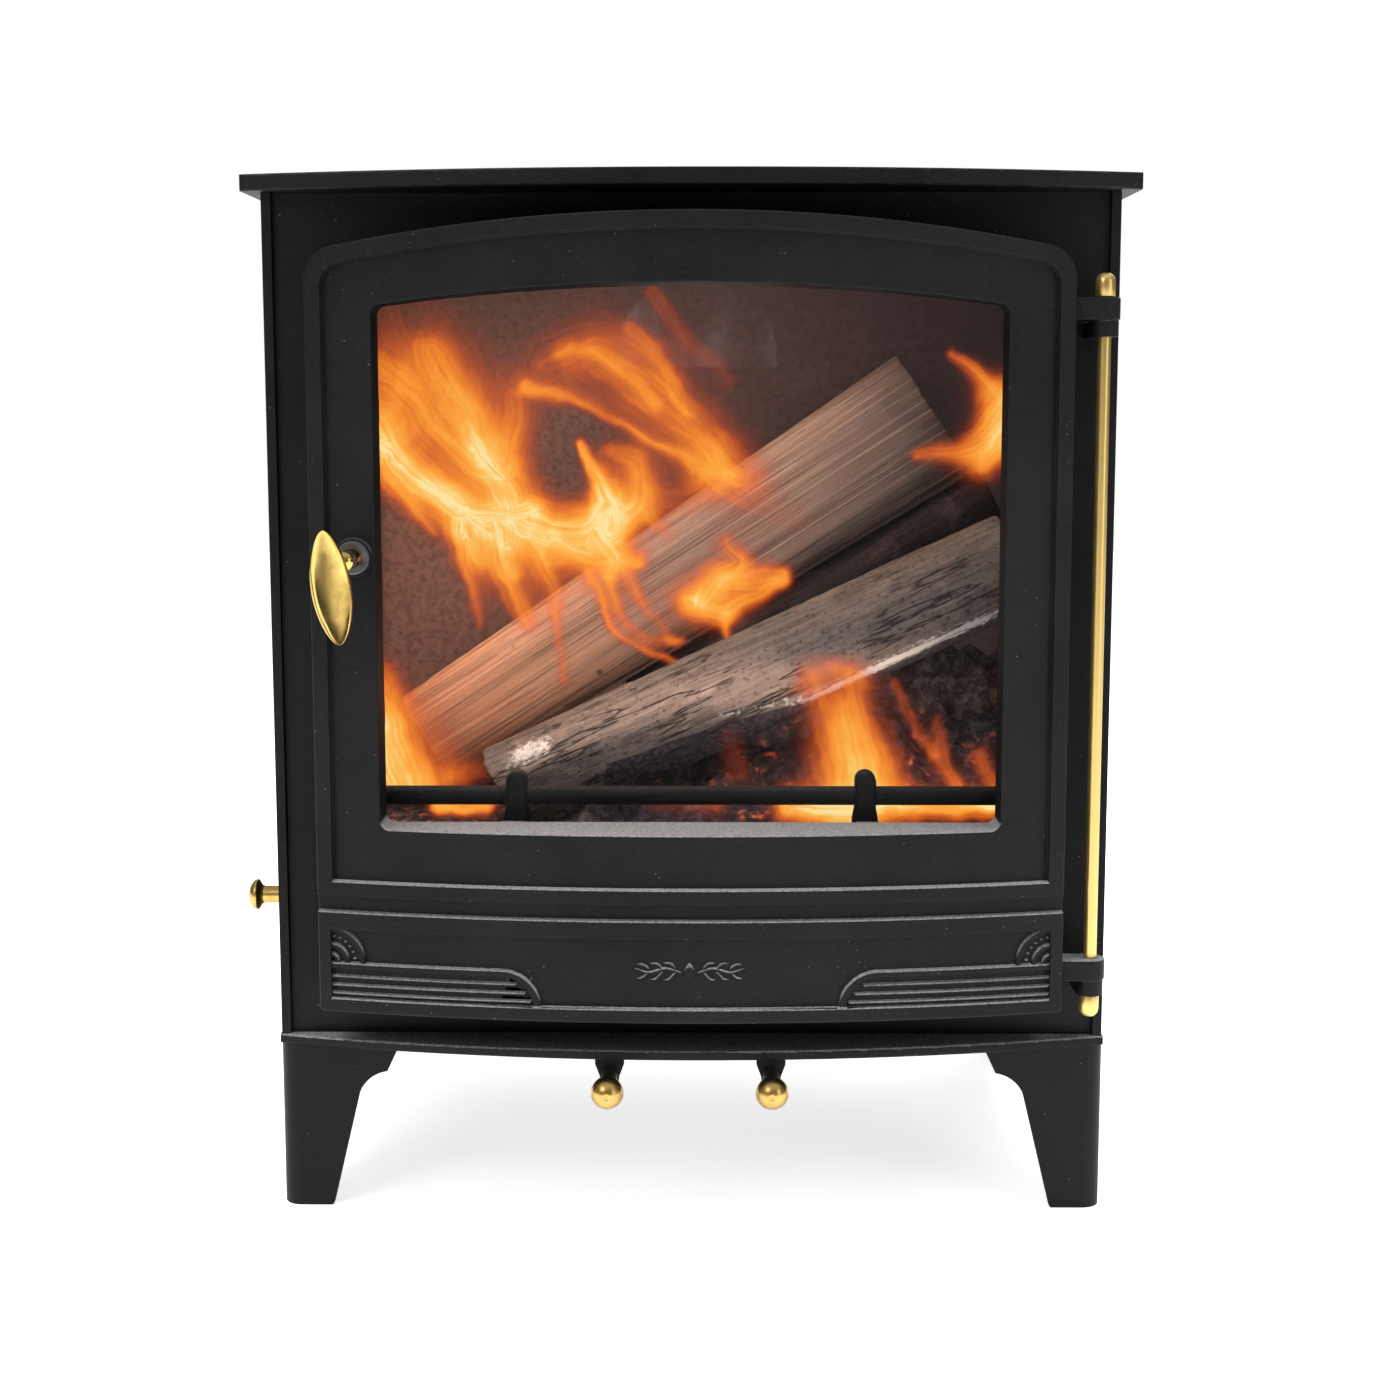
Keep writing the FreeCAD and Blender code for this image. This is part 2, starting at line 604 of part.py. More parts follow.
def make_log_guard_posts():
    """Two posts on the grate frame that the bar passes through: wide below, narrow and rounded above."""
    foot = GRATE_Z + GRATE_T
    outline = [
        Part.LineSegment(V(-11.0, 0, foot), V(-8.0, 0, foot + 8.0)),
        Part.LineSegment(V(-8.0, 0, foot + 8.0), V(-8.0, 0, 248.0)),
        Part.LineSegment(V(-8.0, 0, 248.0), V(-6.5, 0, 256.0)),
        Part.LineSegment(V(-6.5, 0, 256.0), V(-6.5, 0, 272.5)),
        Part.Arc(V(-6.5, 0, 272.5), V(0, 0, 279.0), V(6.5, 0, 272.5)),
        Part.LineSegment(V(6.5, 0, 272.5), V(6.5, 0, 256.0)),
        Part.LineSegment(V(6.5, 0, 256.0), V(8.0, 0, 248.0)),
        Part.LineSegment(V(8.0, 0, 248.0), V(8.0, 0, foot + 8.0)),
        Part.LineSegment(V(8.0, 0, foot + 8.0), V(11.0, 0, foot)),
        Part.LineSegment(V(11.0, 0, foot), V(-11.0, 0, foot)),
    ]
    wire = Part.Wire([edge.toShape() for edge in outline])
    post = prism_xz(wire, at_front(GUARD_Y - 8.0, GUARD_Y + 8.0))
    rims = [e for e in post.Edges if e.BoundBox.YLength < 0.1 and e.BoundBox.ZMin > foot + 1]
    post = post.makeChamfer(1.5, rims)
    post = post.cut(rod(6.1, (-20.0, FRONT + GUARD_Y, GUARD_Z), (20.0, FRONT + GUARD_Y, GUARD_Z)))
    left, right = post.copy(), post.copy()
    left.translate(V(-GUARD_POST_X, 0, 0))
    right.translate(V(GUARD_POST_X, 0, 0))
    return Part.makeCompound([left, right])


def make_ash_pan():
    """Open sheet pan with a rolled rim."""
    wall = 1.5
    pan = box((-PAN_HALF_W, PAN_HALF_W), at_front(*PAN_Y), (PAN_LOW, PAN_TOP))
    hollow = box(
        (wall - PAN_HALF_W, PAN_HALF_W - wall),
        at_front(PAN_Y[0] + wall, PAN_Y[1] - wall),
        (PAN_LOW + wall, PAN_TOP + 1),
    )
    return pan.cut(hollow)


def make_ash_pan_handle():
    """Small bail welded to the front of the ash pan."""
    bar_r = 3.0
    z = 172.0
    front, back = at_front(PAN_Y[0] - 9.0, PAN_Y[0])
    pieces = [rod(bar_r, (-32.0, front, z), (32.0, front, z))]
    for x in (-32.0, 32.0):
        pieces += [rod(bar_r, (x, front, z), (x, back, z)), Part.makeSphere(bar_r, V(x, front, z))]
    return pieces[0].multiFuse(pieces[1:]).removeSplitter()


# ================================================================ logs
def bar_between(near, start, end, far=None):
    """Solid along a line in a plane of constant depth, from one closed (across, up) section to another."""
    line = V(*end) - V(*start)
    rings = []
    for section, foot in ((near, start), (far or near, end)):
        corners = [V(0, across, up) for across, up in section]
        ring = Part.makePolygon(corners + corners[:1])
        ring.rotate(V(0, 0, 0), Y_AXIS, -math.degrees(math.atan2(line.z, line.x)))
        ring.translate(V(*foot))
        rings.append(ring)
    return Part.makeLoft(rings, True, True)


def rough_section(half_across, half_up, sides):
    """Slightly uneven closed section of a log."""
    points = []
    for i in range(sides):
        turn = 2 * math.pi * (i + 0.5) / sides
        reach = 1.0 - 0.05 * (i % 3)
        points.append((half_across * reach * math.cos(turn), half_up * reach * math.sin(turn)))
    return points


def make_log_charred():
    """Round charred log at the front of the fire, leaning up to the right."""
    y = FRONT + 76.0
    return bar_between(rough_section(34.0, 33.0, 11), (-124.0, y, 253.0), (211.0, y, 408.0))


def make_log_split():
    """Square split log behind it, steeper, and thicker at its upper end."""
    near = [(-24.0, -34.0), (24.0, -34.0), (24.0, 32.0), (-24.0, 34.0)]
    far = [(-24.0, -46.0), (24.0, -46.0), (24.0, 44.0), (-24.0, 46.0)]
    y = FRONT + 143.0
    return bar_between(near, (-182.0, y, 280.0), (162.0, y, 503.0), far)


def make_log_dark():
    """Dark log under the split one."""
    y = FRONT + 143.0
    return bar_between(rough_section(22.5, 22.5, 9), (-36.0, y, 301.3), (203.0, y, 446.0))


# ================================================================ door
def on_door(shape_wire, proud):
    """Raise a pattern on the door's field up to a surface `proud` short of the border's face."""
    blank = prism_xz(shape_wire, at_front(-80.0, -20.0))
    return blank.common(bow(DOOR_NOSE, proud)).cut(bow(DOOR_NOSE, FIELD_DEPTH + 3.0))


def band_wire(centre_x, centre_z, inward, inner_r, outer_r):
    """Quarter band round a corner of the lower panel, opening inwards and up."""

    def at(radius, degrees):
        turn = math.radians(degrees)
        return V(centre_x + inward * radius * math.cos(turn), 0, centre_z + radius * math.sin(turn))

    edges = [
        Part.Arc(at(outer_r, 0), at(outer_r, 45), at(outer_r, 90)),
        Part.LineSegment(at(outer_r, 90), at(inner_r, 90)),
        Part.Arc(at(inner_r, 90), at(inner_r, 45), at(inner_r, 0)),
        Part.LineSegment(at(inner_r, 0), at(outer_r, 0)),
    ]
    return Part.Wire([edge.toShape() for edge in edges])


def thick_rib_wire(inward):
    """Rib from the panel's side along the fan's foot, then curving down to the panel's lower edge."""
    side = -inward
    span = RIB_TURN_X - RIB_FOOT_X
    drop = RIB_TOP - PANEL_Z[0] + 1.0

    def curve(reach, fall):
        start = V(side * RIB_TURN_X, 0, RIB_TOP - RIB_T + fall)
        middle = V(side * (RIB_TURN_X - 0.74 * reach), 0, start.z - 0.33 * (drop - RIB_T + fall))
        end = V(side * (RIB_TURN_X - reach), 0, PANEL_Z[0] - 1.0)
        return start, middle, end

    outer = curve(span, RIB_T)
    inner = curve(span - RIB_T - 1.0, 0.0)
    edges = [
        Part.LineSegment(V(side * FAN_X, 0, RIB_TOP), outer[0]),
        Part.Arc(*outer),
        Part.LineSegment(outer[2], inner[2]),
        Part.Arc(inner[2], inner[1], inner[0]),
        Part.LineSegment(inner[0], V(side * FAN_X, 0, RIB_TOP - RIB_T)),
        Part.LineSegment(V(side * FAN_X, 0, RIB_TOP - RIB_T), V(side * FAN_X, 0, RIB_TOP)),
    ]
    return Part.Wire([edge.toShape() for edge in edges])


def make_ornaments():
    """Fans, thick ribs and thin ribs of the lower panel, both sides."""
    pieces = []
    for inward in (-1, 1):
        side = -inward
        for inner_r, outer_r in FAN_BANDS:
            pieces.append(on_door(band_wire(side * FAN_X, FAN_Z, inward, inner_r, outer_r), 1.6))
        pieces.append(on_door(thick_rib_wire(inward), 1.0))
        for top, end_x in THIN_RIBS:
            rib = rectangle_xz((side * FAN_X, side * end_x), (top - THIN_RIB_T, top))
            pieces.append(on_door(rib, 1.8))
    return pieces


def make_door_lug(low):
    """Hinge ear cast on the door's edge, bored for the rod."""
    z_span = (low, low + DOOR_LUG_T)
    y = FRONT + HINGE_Y
    ear = box((DOOR_W / 2 - 6.0, HINGE_X), (y - DOOR_LUG_R, y + DOOR_LUG_R), z_span)
    return ear.fuse(rod(DOOR_LUG_R, (HINGE_X, y, z_span[0]), (HINGE_X, y, z_span[1]))).removeSplitter()


def make_door_frame():
    """Door casting: bowed face, raised border, window, groove, ribbed lower panel, hinge ears and boss."""
    door = prism_xz(door_outline(0), at_front(-80.0, DOOR_BACK)).common(bow(DOOR_NOSE))
    face_edges = [e for e in door.Edges if e.BoundBox.YMax < FRONT - 30.0]
    door = door.makeFillet(1.5, face_edges)
    through = at_front(-80.0, DOOR_BACK + 1)
    field_span = at_front(-80.0, -10.0)
    corner_r = DOOR_CORNER_R - 6.0
    upper = arched_wire(DOOR_W / 2 - BORDER, LIP_Z, DOOR_TOP - BORDER, DOOR_ARCH_R - BORDER, corner_r)
    groove = rectangle_xz((-DOOR_W, DOOR_W), GROOVE_Z)
    panel = rectangle_xz((-PANEL_HALF_W, PANEL_HALF_W), PANEL_Z)
    for wire in (upper, groove, panel):
        door = door.cut(prism_xz(wire, field_span).cut(bow(DOOR_NOSE, FIELD_DEPTH)))
    door = door.multiFuse(make_ornaments())
    door = door.cut(prism_xz(window_outline(0), through))
    rebate_front = GLASS_FRONT - GASKET_T
    rebate_span = at_front(rebate_front, DOOR_BACK + 1)
    door = door.cut(prism_xz(window_outline(GLASS_MARGIN + 0.5), rebate_span))
    hollow = box((-205.0, 205.0), through, (162.0, 238.0))
    door = door.cut(hollow.common(bow(DOOR_NOSE, FIELD_DEPTH + CASTING_WALL)))
    rope_span = at_front(DOOR_BACK - ROPE_DEPTH, DOOR_BACK + 1)
    rope_outer = prism_xz(door_outline(ROPE_INSET - ROPE_W / 2), rope_span)
    rope_inner = prism_xz(door_outline(ROPE_INSET + ROPE_W / 2), rope_span)
    door = door.cut(rope_outer.cut(rope_inner))
    for low in (UPPER_BODY_LUG_Z, LOWER_BODY_LUG_Z):
        door = door.fuse(make_door_lug(low + BODY_LUG_T + LUG_GAP))
    boss_y = at_front(-46.6, -20.0)
    boss = rod(BOSS_R + 1.5, (SPINDLE_X, boss_y[0], SPINDLE_Z), (SPINDLE_X, boss_y[1], SPINDLE_Z))
    door = door.fuse(boss).removeSplitter()
    y = FRONT + HINGE_Y
    door = door.cut(rod(ROD_R + RUNNING_FIT, (HINGE_X, y, DOOR_LOW), (HINGE_X, y, DOOR_TOP)))
    bore_y = at_front(-80.0, 0.0)
    bore_r = SPINDLE_R + RUNNING_FIT
    door = door.cut(rod(bore_r, (SPINDLE_X, bore_y[0], SPINDLE_Z), (SPINDLE_X, bore_y[1], SPINDLE_Z)))
    for x, z in clip_screw_places():
        door = door.cut(rod(2.1, (x, FRONT + DOOR_BACK - 9.0, z), (x, FRONT + DOOR_BACK + 1, z)))
    return door


def make_door_glass():
    """Heat-proof pane."""
    return prism_xz(window_outline(GLASS_MARGIN), at_front(GLASS_FRONT, GLASS_FRONT + GLASS_T))


def make_glass_gasket():
    """Flat gasket between the pane and the casting."""
    ring = prism_xz(window_outline(GLASS_MARGIN), at_front(GLASS_FRONT - GASKET_T, GLASS_FRONT))
    return ring.cut(prism_xz(window_outline(0.8), at_front(GLASS_FRONT - GASKET_T - 1, GLASS_FRONT + 1)))


def clip_places():
    """Glass clips as (x, z, direction towards the pane in degrees in the XZ plane)."""
    places = [(x, WINDOW_LOW, 90.0) for x in (-110.0, 110.0)]
    places += [(x, WINDOW_TOP - 4.9, 270.0) for x in (-110.0, 110.0)]
    for z in (320.0, 505.0):
        places += [(-WINDOW_W / 2, z, 0.0), (WINDOW_W / 2, z, 180.0)]
    return places


def clip_screw_places():
    """Screw axes (x, z) of the glass clips, 14.5 outside the window's edge."""
    places = []
    for x, z, heading in clip_places():
        turn = math.radians(heading)
        places.append((x - 14.5 * math.cos(turn), z - 14.5 * math.sin(turn)))
    return places


def make_glass_clips():
    """Cranked spring clips that hold the pane from behind."""
    lip_y = GLASS_FRONT + GLASS_T
    side_view = [(-19.0, -3.0), (-6.8, -3.0), (-6.8, lip_y), (-1.0, lip_y)]
    side_view += [(-1.0, lip_y + 1.5), (-5.3, lip_y + 1.5), (-5.3, -1.5), (-19.0, -1.5)]
    clips = []
    for x, z, heading in clip_places():
        corners = [V(along, FRONT + depth, -7.0) for along, depth in side_view]
        clip = Part.Face(Part.makePolygon(corners + corners[:1])).extrude(V(0, 0, 14.0))
        clip = clip.cut(rod(2.2, (-14.5, FRONT - 8.0, 0), (-14.5, FRONT + 1.0, 0)))
        clip.rotate(V(0, 0, 0), Y_AXIS, -heading)
        clip.translate(V(x, 0, z))
        clips.append(clip)
    return Part.makeCompound(clips)


def make_glass_clip_screws():
    """Pan-head screws of the clips."""
    head = FRONT + DOOR_BACK + 1.5
    profile = [(0, head - 8.0), (2.0, head - 8.0), (2.0, head), (3.6, head)]
    profile += [(3.2, head + 1.8), (0, head + 2.2)]
    return Part.makeCompound([turned_y(profile, x, z) for x, z in clip_screw_places()])


def make_door_rope_seal():
    """Rope seal in the groove on the door's back, standing out to just short of the front frame."""
    span = at_front(DOOR_BACK - ROPE_DEPTH, FRAME_FRONT - 0.3)
    half_w = ROPE_W / 2 - 0.2
    outer = prism_xz(door_outline(ROPE_INSET - half_w), span)
    return outer.cut(prism_xz(door_outline(ROPE_INSET + half_w), span))


# ================================================================ latch
def lever_wire(length, width):
    """Almond outline about the origin, long way up, with blunt ends: sharper below, rounder above."""
    half = width / 2
    top, foot = length / 2, -length / 2
    right_top, right_foot = V(3.6, 0, top - 1.6), V(2.4, 0, foot + 1.4)
    left_top, left_foot = V(-3.6, 0, top - 1.6), V(-2.4, 0, foot + 1.4)
    arcs = [
        Part.Arc(right_top, V(half, 0, 5.0), right_foot),
        Part.Arc(right_foot, V(0, 0, foot), left_foot),
        Part.Arc(left_foot, V(-half, 0, 5.0), left_top),
        Part.Arc(left_top, V(0, 0, top), right_top),
    ]
    return Part.Wire([arc.toShape() for arc in arcs])


def make_door_handle():
    """Brass lever: an almond blade on a round neck that fits over the spindle."""
    blade = prism_xz(lever_wire(LEVER_LENGTH, LEVER_WIDTH), at_front(*LEVER_Y))
    blade = blade.makeFillet(2.0, [e for e in blade.Edges if e.BoundBox.YLength < 0.1])
    blade.rotate(V(0, 0, 0), Y_AXIS, -LEVER_LEAN)
    blade.translate(V(LEVER_CENTRE_X, 0, LEVER_CENTRE_Z))
    y = at_front(LEVER_Y[1] - 3.0, -49.0)
    neck = rod(NECK_R, (SPINDLE_X, y[0], SPINDLE_Z), (SPINDLE_X, y[1], SPINDLE_Z))
    y = at_front(SPINDLE_Y[0], -40.0)
    socket = rod(SPINDLE_R - 1.0, (SPINDLE_X, y[0], SPINDLE_Z), (SPINDLE_X, y[1], SPINDLE_Z))
    return blade.fuse(neck).removeSplitter().cut(socket)


def make_handle_spindle():
    """Steel spindle through the door: thinner end in the handle, shaft in the door, stud for the nut."""
    start, end = at_front(*SPINDLE_Y)
    shoulder, thread = at_front(-49.0, CAM_Y[1])
    thin = SPINDLE_R - 1.0
    profile = [(0, start), (thin, start), (thin, shoulder), (SPINDLE_R, shoulder), (SPINDLE_R, thread)]
    profile += [(thin, thread), (thin, end - 0.8), (thin - 0.8, end), (0, end)]
    return turned_y(profile, SPINDLE_X, SPINDLE_Z)


def make_handle_boss():
    """Steel washer between the handle's neck and the boss on the door."""
    profile = [(SPINDLE_R + 0.3, -48.6), (BOSS_R - 0.8, -48.6), (BOSS_R, -47.8), (BOSS_R, -46.6)]
    profile += [(SPINDLE_R + 0.3, -46.6)]
    return turned_y([(radius, FRONT + depth) for radius, depth in profile], SPINDLE_X, SPINDLE_Z)


def make_latch_cam():
    """Cam on the spindle's inner end: round hub with a nose that turns in behind the keeper."""
    span = at_front(*CAM_Y)
    hub = rod(CAM_R, (SPINDLE_X, span[0], SPINDLE_Z), (SPINDLE_X, span[1], SPINDLE_Z))
    nose = box((SPINDLE_X - CAM_NOSE, SPINDLE_X), span, (SPINDLE_Z - 4.5, SPINDLE_Z + 4.5))
    tip = [e for e in nose.Edges if e.BoundBox.YLength > 1 and e.BoundBox.XMax < SPINDLE_X - 1]
    cam = hub.fuse(nose.makeFillet(2.5, tip)).removeSplitter()
    bore = rod(SPINDLE_R, (SPINDLE_X, span[0] - 1, SPINDLE_Z), (SPINDLE_X, span[1] + 1, SPINDLE_Z))
    return cam.cut(bore)


def make_latch_nut():
    """Hexagon nut that holds the cam."""
    low, high = at_front(CAM_Y[1], CAM_Y[1] + 6.0)
    nut = hexagon(13.0, (low, high), 0, 0)
    nut = nut.cut(rod(SPINDLE_R - 1.0, (0, 0, low - 1), (0, 0, high + 1)))
    nut.rotate(V(0, 0, 0), X_AXIS, -90)
    nut.translate(V(SPINDLE_X, 0, SPINDLE_Z))
    return nut


def make_latch_keeper():
    """Keeper block on the back of the front frame, with a lead-in slope for the cam's nose."""
    low, high = at_front(FRAME_FRONT + FRAME_T, FRAME_FRONT + FRAME_T + 8.0)
    plan = [(KEEPER_X - 22.0, low), (KEEPER_X, low), (KEEPER_X, low + 3.0), (KEEPER_X - 8.0, high)]
    plan += [(KEEPER_X - 22.0, high)]
    corners = [V(x, y, SPINDLE_Z - 14.0) for x, y in plan]
    return Part.Face(Part.makePolygon(corners + corners[:1])).extrude(V(0, 0, 28.0))


# ================================================================ hinge
def make_hinge_bracket(low):
    """Ear on the front frame that carries the hinge rod."""
    z_span = (low, low + BODY_LUG_T)
    y = FRONT + HINGE_Y
    ear = box((HINGE_X - BODY_LUG_R, INNER_X - RELIEF), (y, FRONT + FRAME_FRONT), z_span)
    eye = rod(BODY_LUG_R, (HINGE_X, y, z_span[0]), (HINGE_X, y, z_span[1]))
    bore = rod(ROD_R + 0.05, (HINGE_X, y, low - 1), (HINGE_X, y, low + BODY_LUG_T + 1))
    return ear.fuse(eye).removeSplitter().cut(bore)


def make_hinge_rod():
    """Full-height rod that both door ears turn on."""
    y = FRONT + HINGE_Y
    return rod(ROD_R, (HINGE_X, y, LOWER_BODY_LUG_Z - 8.0), (HINGE_X, y, 578.5))


def make_hinge_cap(base, up):
    """Acorn cap on an end of the rod: straight collar and a domed end. up is 1 above and -1 below."""
    collar = rod(CAP_R, (0, 0, 0), (0, 0, CAP_STRAIGHT))
    dome = Part.makeSphere(CAP_R, V(0, 0, CAP_STRAIGHT))
    cap = collar.fuse(dome).removeSplitter()
    cap = cap.makeFillet(0.6, [e for e in cap.Edges if e.BoundBox.ZMax < 0.1])
    cap = cap.cut(rod(ROD_R + 0.05, (0, 0, -1), (0, 0, CAP_STRAIGHT)))
    cap = cap if up > 0 else mirrored(cap, Z_AXIS)
    cap.translate(V(HINGE_X, FRONT + HINGE_Y, base))
    return cap


# ================================================================ air controls
def make_air_slider(x):
    """Perforated slide under the base plate, a neck with a tapered front tab, and a stem for its knob."""
    plate = box((x - 18.0, x + 18.0), at_front(-3.0, 124.0), (102.5, 106.5))
    for y in (62.0, 87.0, 112.0):
        plate = plate.cut(rod(7.0, (x, FRONT + y, 101.0), (x, FRONT + y, 108.0)))
    neck = box((x - 8.0, x + 8.0), at_front(-30.0, -2.0), (102.5, 106.5))
    half_outline = [(9.0, 106.5), (9.0, 103.0), (6.2, 95.5), (5.4, 90.0)]
    back, front = at_front(-30.0, AIR_BALL_Y + 8.6)
    corners = [V(x - half, back, z) for half, z in half_outline]
    corners += [V(x + half, back, z) for half, z in reversed(half_outline)]
    tab = Part.Face(Part.makePolygon(corners + corners[:1])).extrude(V(0, 4.0, 0))
    wide, narrow = 5.2, 4.6
    stem = Part.makeCone(wide, narrow, back - front, V(0, 0, 0), V(0, -1, -0.12))
    stem.translate(V(x, back + 1.0, AIR_Z))
    return plate.multiFuse([neck, tab, stem]).removeSplitter()


def make_air_knob(x, slider):
    """Brass ball on the stem's end."""
    ball = Part.makeSphere(BALL_R, V(x, FRONT + AIR_BALL_Y, AIR_BALL_Z))
    return ball.cut(slider)


def make_air_guide(x):
    """Channel under the base plate that an air slider runs in."""
    depth = at_front(8.0, 150.0)
    floor = box((x - 22.0, x + 22.0), depth, (98.0, 100.0))
    walls = [box((edge - 1.5, edge + 1.5), depth, (100.0, LEG_H)) for edge in (x - 20.5, x + 20.5)]
    return floor.multiFuse(walls).removeSplitter()


# ================================================================ all the pieces
def make_pieces():
    """Every node of the stove by name."""
    primary_slider = make_air_slider(-AIR_X)
    secondary_slider = make_air_slider(AIR_X)
    cap_low = UPPER_BODY_LUG_Z + BODY_LUG_T + LUG_GAP + DOOR_LUG_T + LUG_GAP
    pieces = {
        "top_plate": make_top_plate(),
        "base_plate": make_base_plate(),
        "left_side_panel": make_side_panel(-1),
        "right_side_panel": make_side_panel(1),
        "back_panel": make_back_panel(),
        "front_frame": make_front_frame(),
        "firebox_floor": make_firebox_floor(),
        "leg_bolts": make_leg_bolts(),
        "flue_collar": make_flue_collar(),
        "flue_collar_bolts": make_flue_collar_bolts(),
        "flue_blanking_plate": make_flue_blanking_plate(),
        "blanking_clamp_bar": make_blanking_clamp_bar(),
        "blanking_bolt": make_blanking_bolt(),
        "left_fire_brick": make_side_brick(-1),
        "right_fire_brick": make_side_brick(1),
        "rear_fire_brick": make_rear_brick(),
        "left_brick_retainer": make_brick_retainer(-1),
        "right_brick_retainer": make_brick_retainer(1),
        "baffle_plate": make_baffle_plate(),
        "baffle_supports": make_baffle_supports(),
        "airwash_deflector": make_airwash_deflector(),
        "grate_frame": make_grate_frame(),
        "grate_supports": make_grate_supports(),
        "riddling_grate": make_riddling_grate(),
        "riddling_rod": make_riddling_rod(),
        "riddling_knob": make_riddling_knob(),
        "log_guard_bar": make_log_guard_bar(),
        "log_guard_posts": make_log_guard_posts(),
        "ash_pan": make_ash_pan(),
        "ash_pan_handle": make_ash_pan_handle(),
        "log_charred": make_log_charred(),
        "log_split": make_log_split(),
        "log_dark": make_log_dark(),
        "door_frame": make_door_frame(),
        "door_glass": make_door_glass(),
        "glass_gasket": make_glass_gasket(),
        "glass_clips": make_glass_clips(),
        "glass_clip_screws": make_glass_clip_screws(),
        "door_rope_seal": make_door_rope_seal(),
        "door_handle": make_door_handle(),
        "handle_spindle": make_handle_spindle(),
        "handle_boss": make_handle_boss(),
        "latch_cam": make_latch_cam(),
        "latch_nut": make_latch_nut(),
        "latch_keeper": make_latch_keeper(),
        "hinge_rod": make_hinge_rod(),
        "upper_hinge_bracket": make_hinge_bracket(UPPER_BODY_LUG_Z),
        "lower_hinge_bracket": make_hinge_bracket(LOWER_BODY_LUG_Z),
        "upper_hinge_cap": make_hinge_cap(cap_low, 1),
        "lower_hinge_cap": make_hinge_cap(LOWER_BODY_LUG_Z - 0.1, -1),
        "primary_air_slider": primary_slider,
        "secondary_air_slider": secondary_slider,
        "primary_air_knob": make_air_knob(-AIR_X, primary_slider),
        "secondary_air_knob": make_air_knob(AIR_X, secondary_slider),
        "primary_air_guide": make_air_guide(-AIR_X),
        "secondary_air_guide": make_air_guide(AIR_X),
    }
    for end, end_name in ((-1, "front"), (1, "rear")):
        for side, side_name in ((-1, "left"), (1, "right")):
            pieces[f"{end_name}_{side_name}_leg"] = make_leg(side, end)
    return pieces


os.makedirs("parts", exist_ok=True)
for name, shape in make_pieces().items():
    shape.exportStep(f"parts/{name}.step")
    print(f"{name}: {len(shape.Solids)} solid(s), valid {shape.isValid()}, {shape.Volume / 1000:.1f} cm3")
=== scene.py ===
"""Looks of a wood burning stove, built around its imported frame.

Metres, in the frame's own axes: X to the right seen from the front, Y to the back, Z up from the hearth.
Sizes inside the classes are millimetres, and depths run back from the side panels' front edges.
"""

import logging
import math
from collections.abc import Callable, Iterable, Sequence
from dataclasses import dataclass
from enum import Enum
from typing import Any, Union

import bpy
import numpy as np
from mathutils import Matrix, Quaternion, Vector


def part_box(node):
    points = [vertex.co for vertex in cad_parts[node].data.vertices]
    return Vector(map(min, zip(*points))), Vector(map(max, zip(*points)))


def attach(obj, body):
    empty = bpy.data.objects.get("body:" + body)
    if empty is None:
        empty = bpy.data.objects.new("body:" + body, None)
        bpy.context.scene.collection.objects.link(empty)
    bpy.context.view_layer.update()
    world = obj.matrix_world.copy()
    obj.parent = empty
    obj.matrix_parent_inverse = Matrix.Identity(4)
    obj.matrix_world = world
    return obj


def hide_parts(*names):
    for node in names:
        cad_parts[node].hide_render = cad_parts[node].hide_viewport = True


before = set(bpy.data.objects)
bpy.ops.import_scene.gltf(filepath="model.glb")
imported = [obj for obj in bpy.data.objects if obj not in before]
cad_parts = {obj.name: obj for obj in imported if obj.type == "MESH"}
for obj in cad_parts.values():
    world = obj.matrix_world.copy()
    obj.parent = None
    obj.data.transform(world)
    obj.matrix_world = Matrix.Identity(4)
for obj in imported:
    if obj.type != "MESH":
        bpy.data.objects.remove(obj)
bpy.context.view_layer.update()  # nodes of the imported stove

FRONT_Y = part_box("left_side_panel")[0].y
MM = 0.001
Colour = tuple[float, float, float]
Point = tuple[float, float]
Point3 = tuple[float, float, float]

log = logging.getLogger("stove")


# ---------------------------------------------------------------- shader expressions
class Signal:
    """What one output of a material node carries; arithmetic on it adds Math nodes."""

    def __init__(self, tree: "Tree", socket: bpy.types.NodeSocket) -> None:
        """Keep the tree and the output socket."""
        self.tree = tree
        self.socket = socket

    def _math(self, operation: str, first: "Term", second: "Term") -> "Signal":
        """Math node on two terms.

        Args:
            operation: Name of the Math node's operation.
            first: Value of the upper input.
            second: Value of the lower input.

        Returns:
            The node's result.
        """
        return self.tree.node("ShaderNodeMath", {"operation": operation}, {0: first, 1: second})

    def __add__(self, other: "Term") -> "Signal":
        """Sum."""
        return self._math("ADD", self, other)

    def __radd__(self, other: "Term") -> "Signal":
        """Sum with a number on the left."""
        return self._math("ADD", other, self)

    def __sub__(self, other: "Term") -> "Signal":
        """Difference."""
        return self._math("SUBTRACT", self, other)

    def __rsub__(self, other: "Term") -> "Signal":
        """Difference with a number on the left."""
        return self._math("SUBTRACT", other, self)

    def __mul__(self, other: "Term") -> "Signal":
        """Product."""
        return self._math("MULTIPLY", self, other)

    def __rmul__(self, other: "Term") -> "Signal":
        """Product with a number on the left."""
        return self._math("MULTIPLY", other, self)


Term = Union[Signal, float, Sequence[float]]


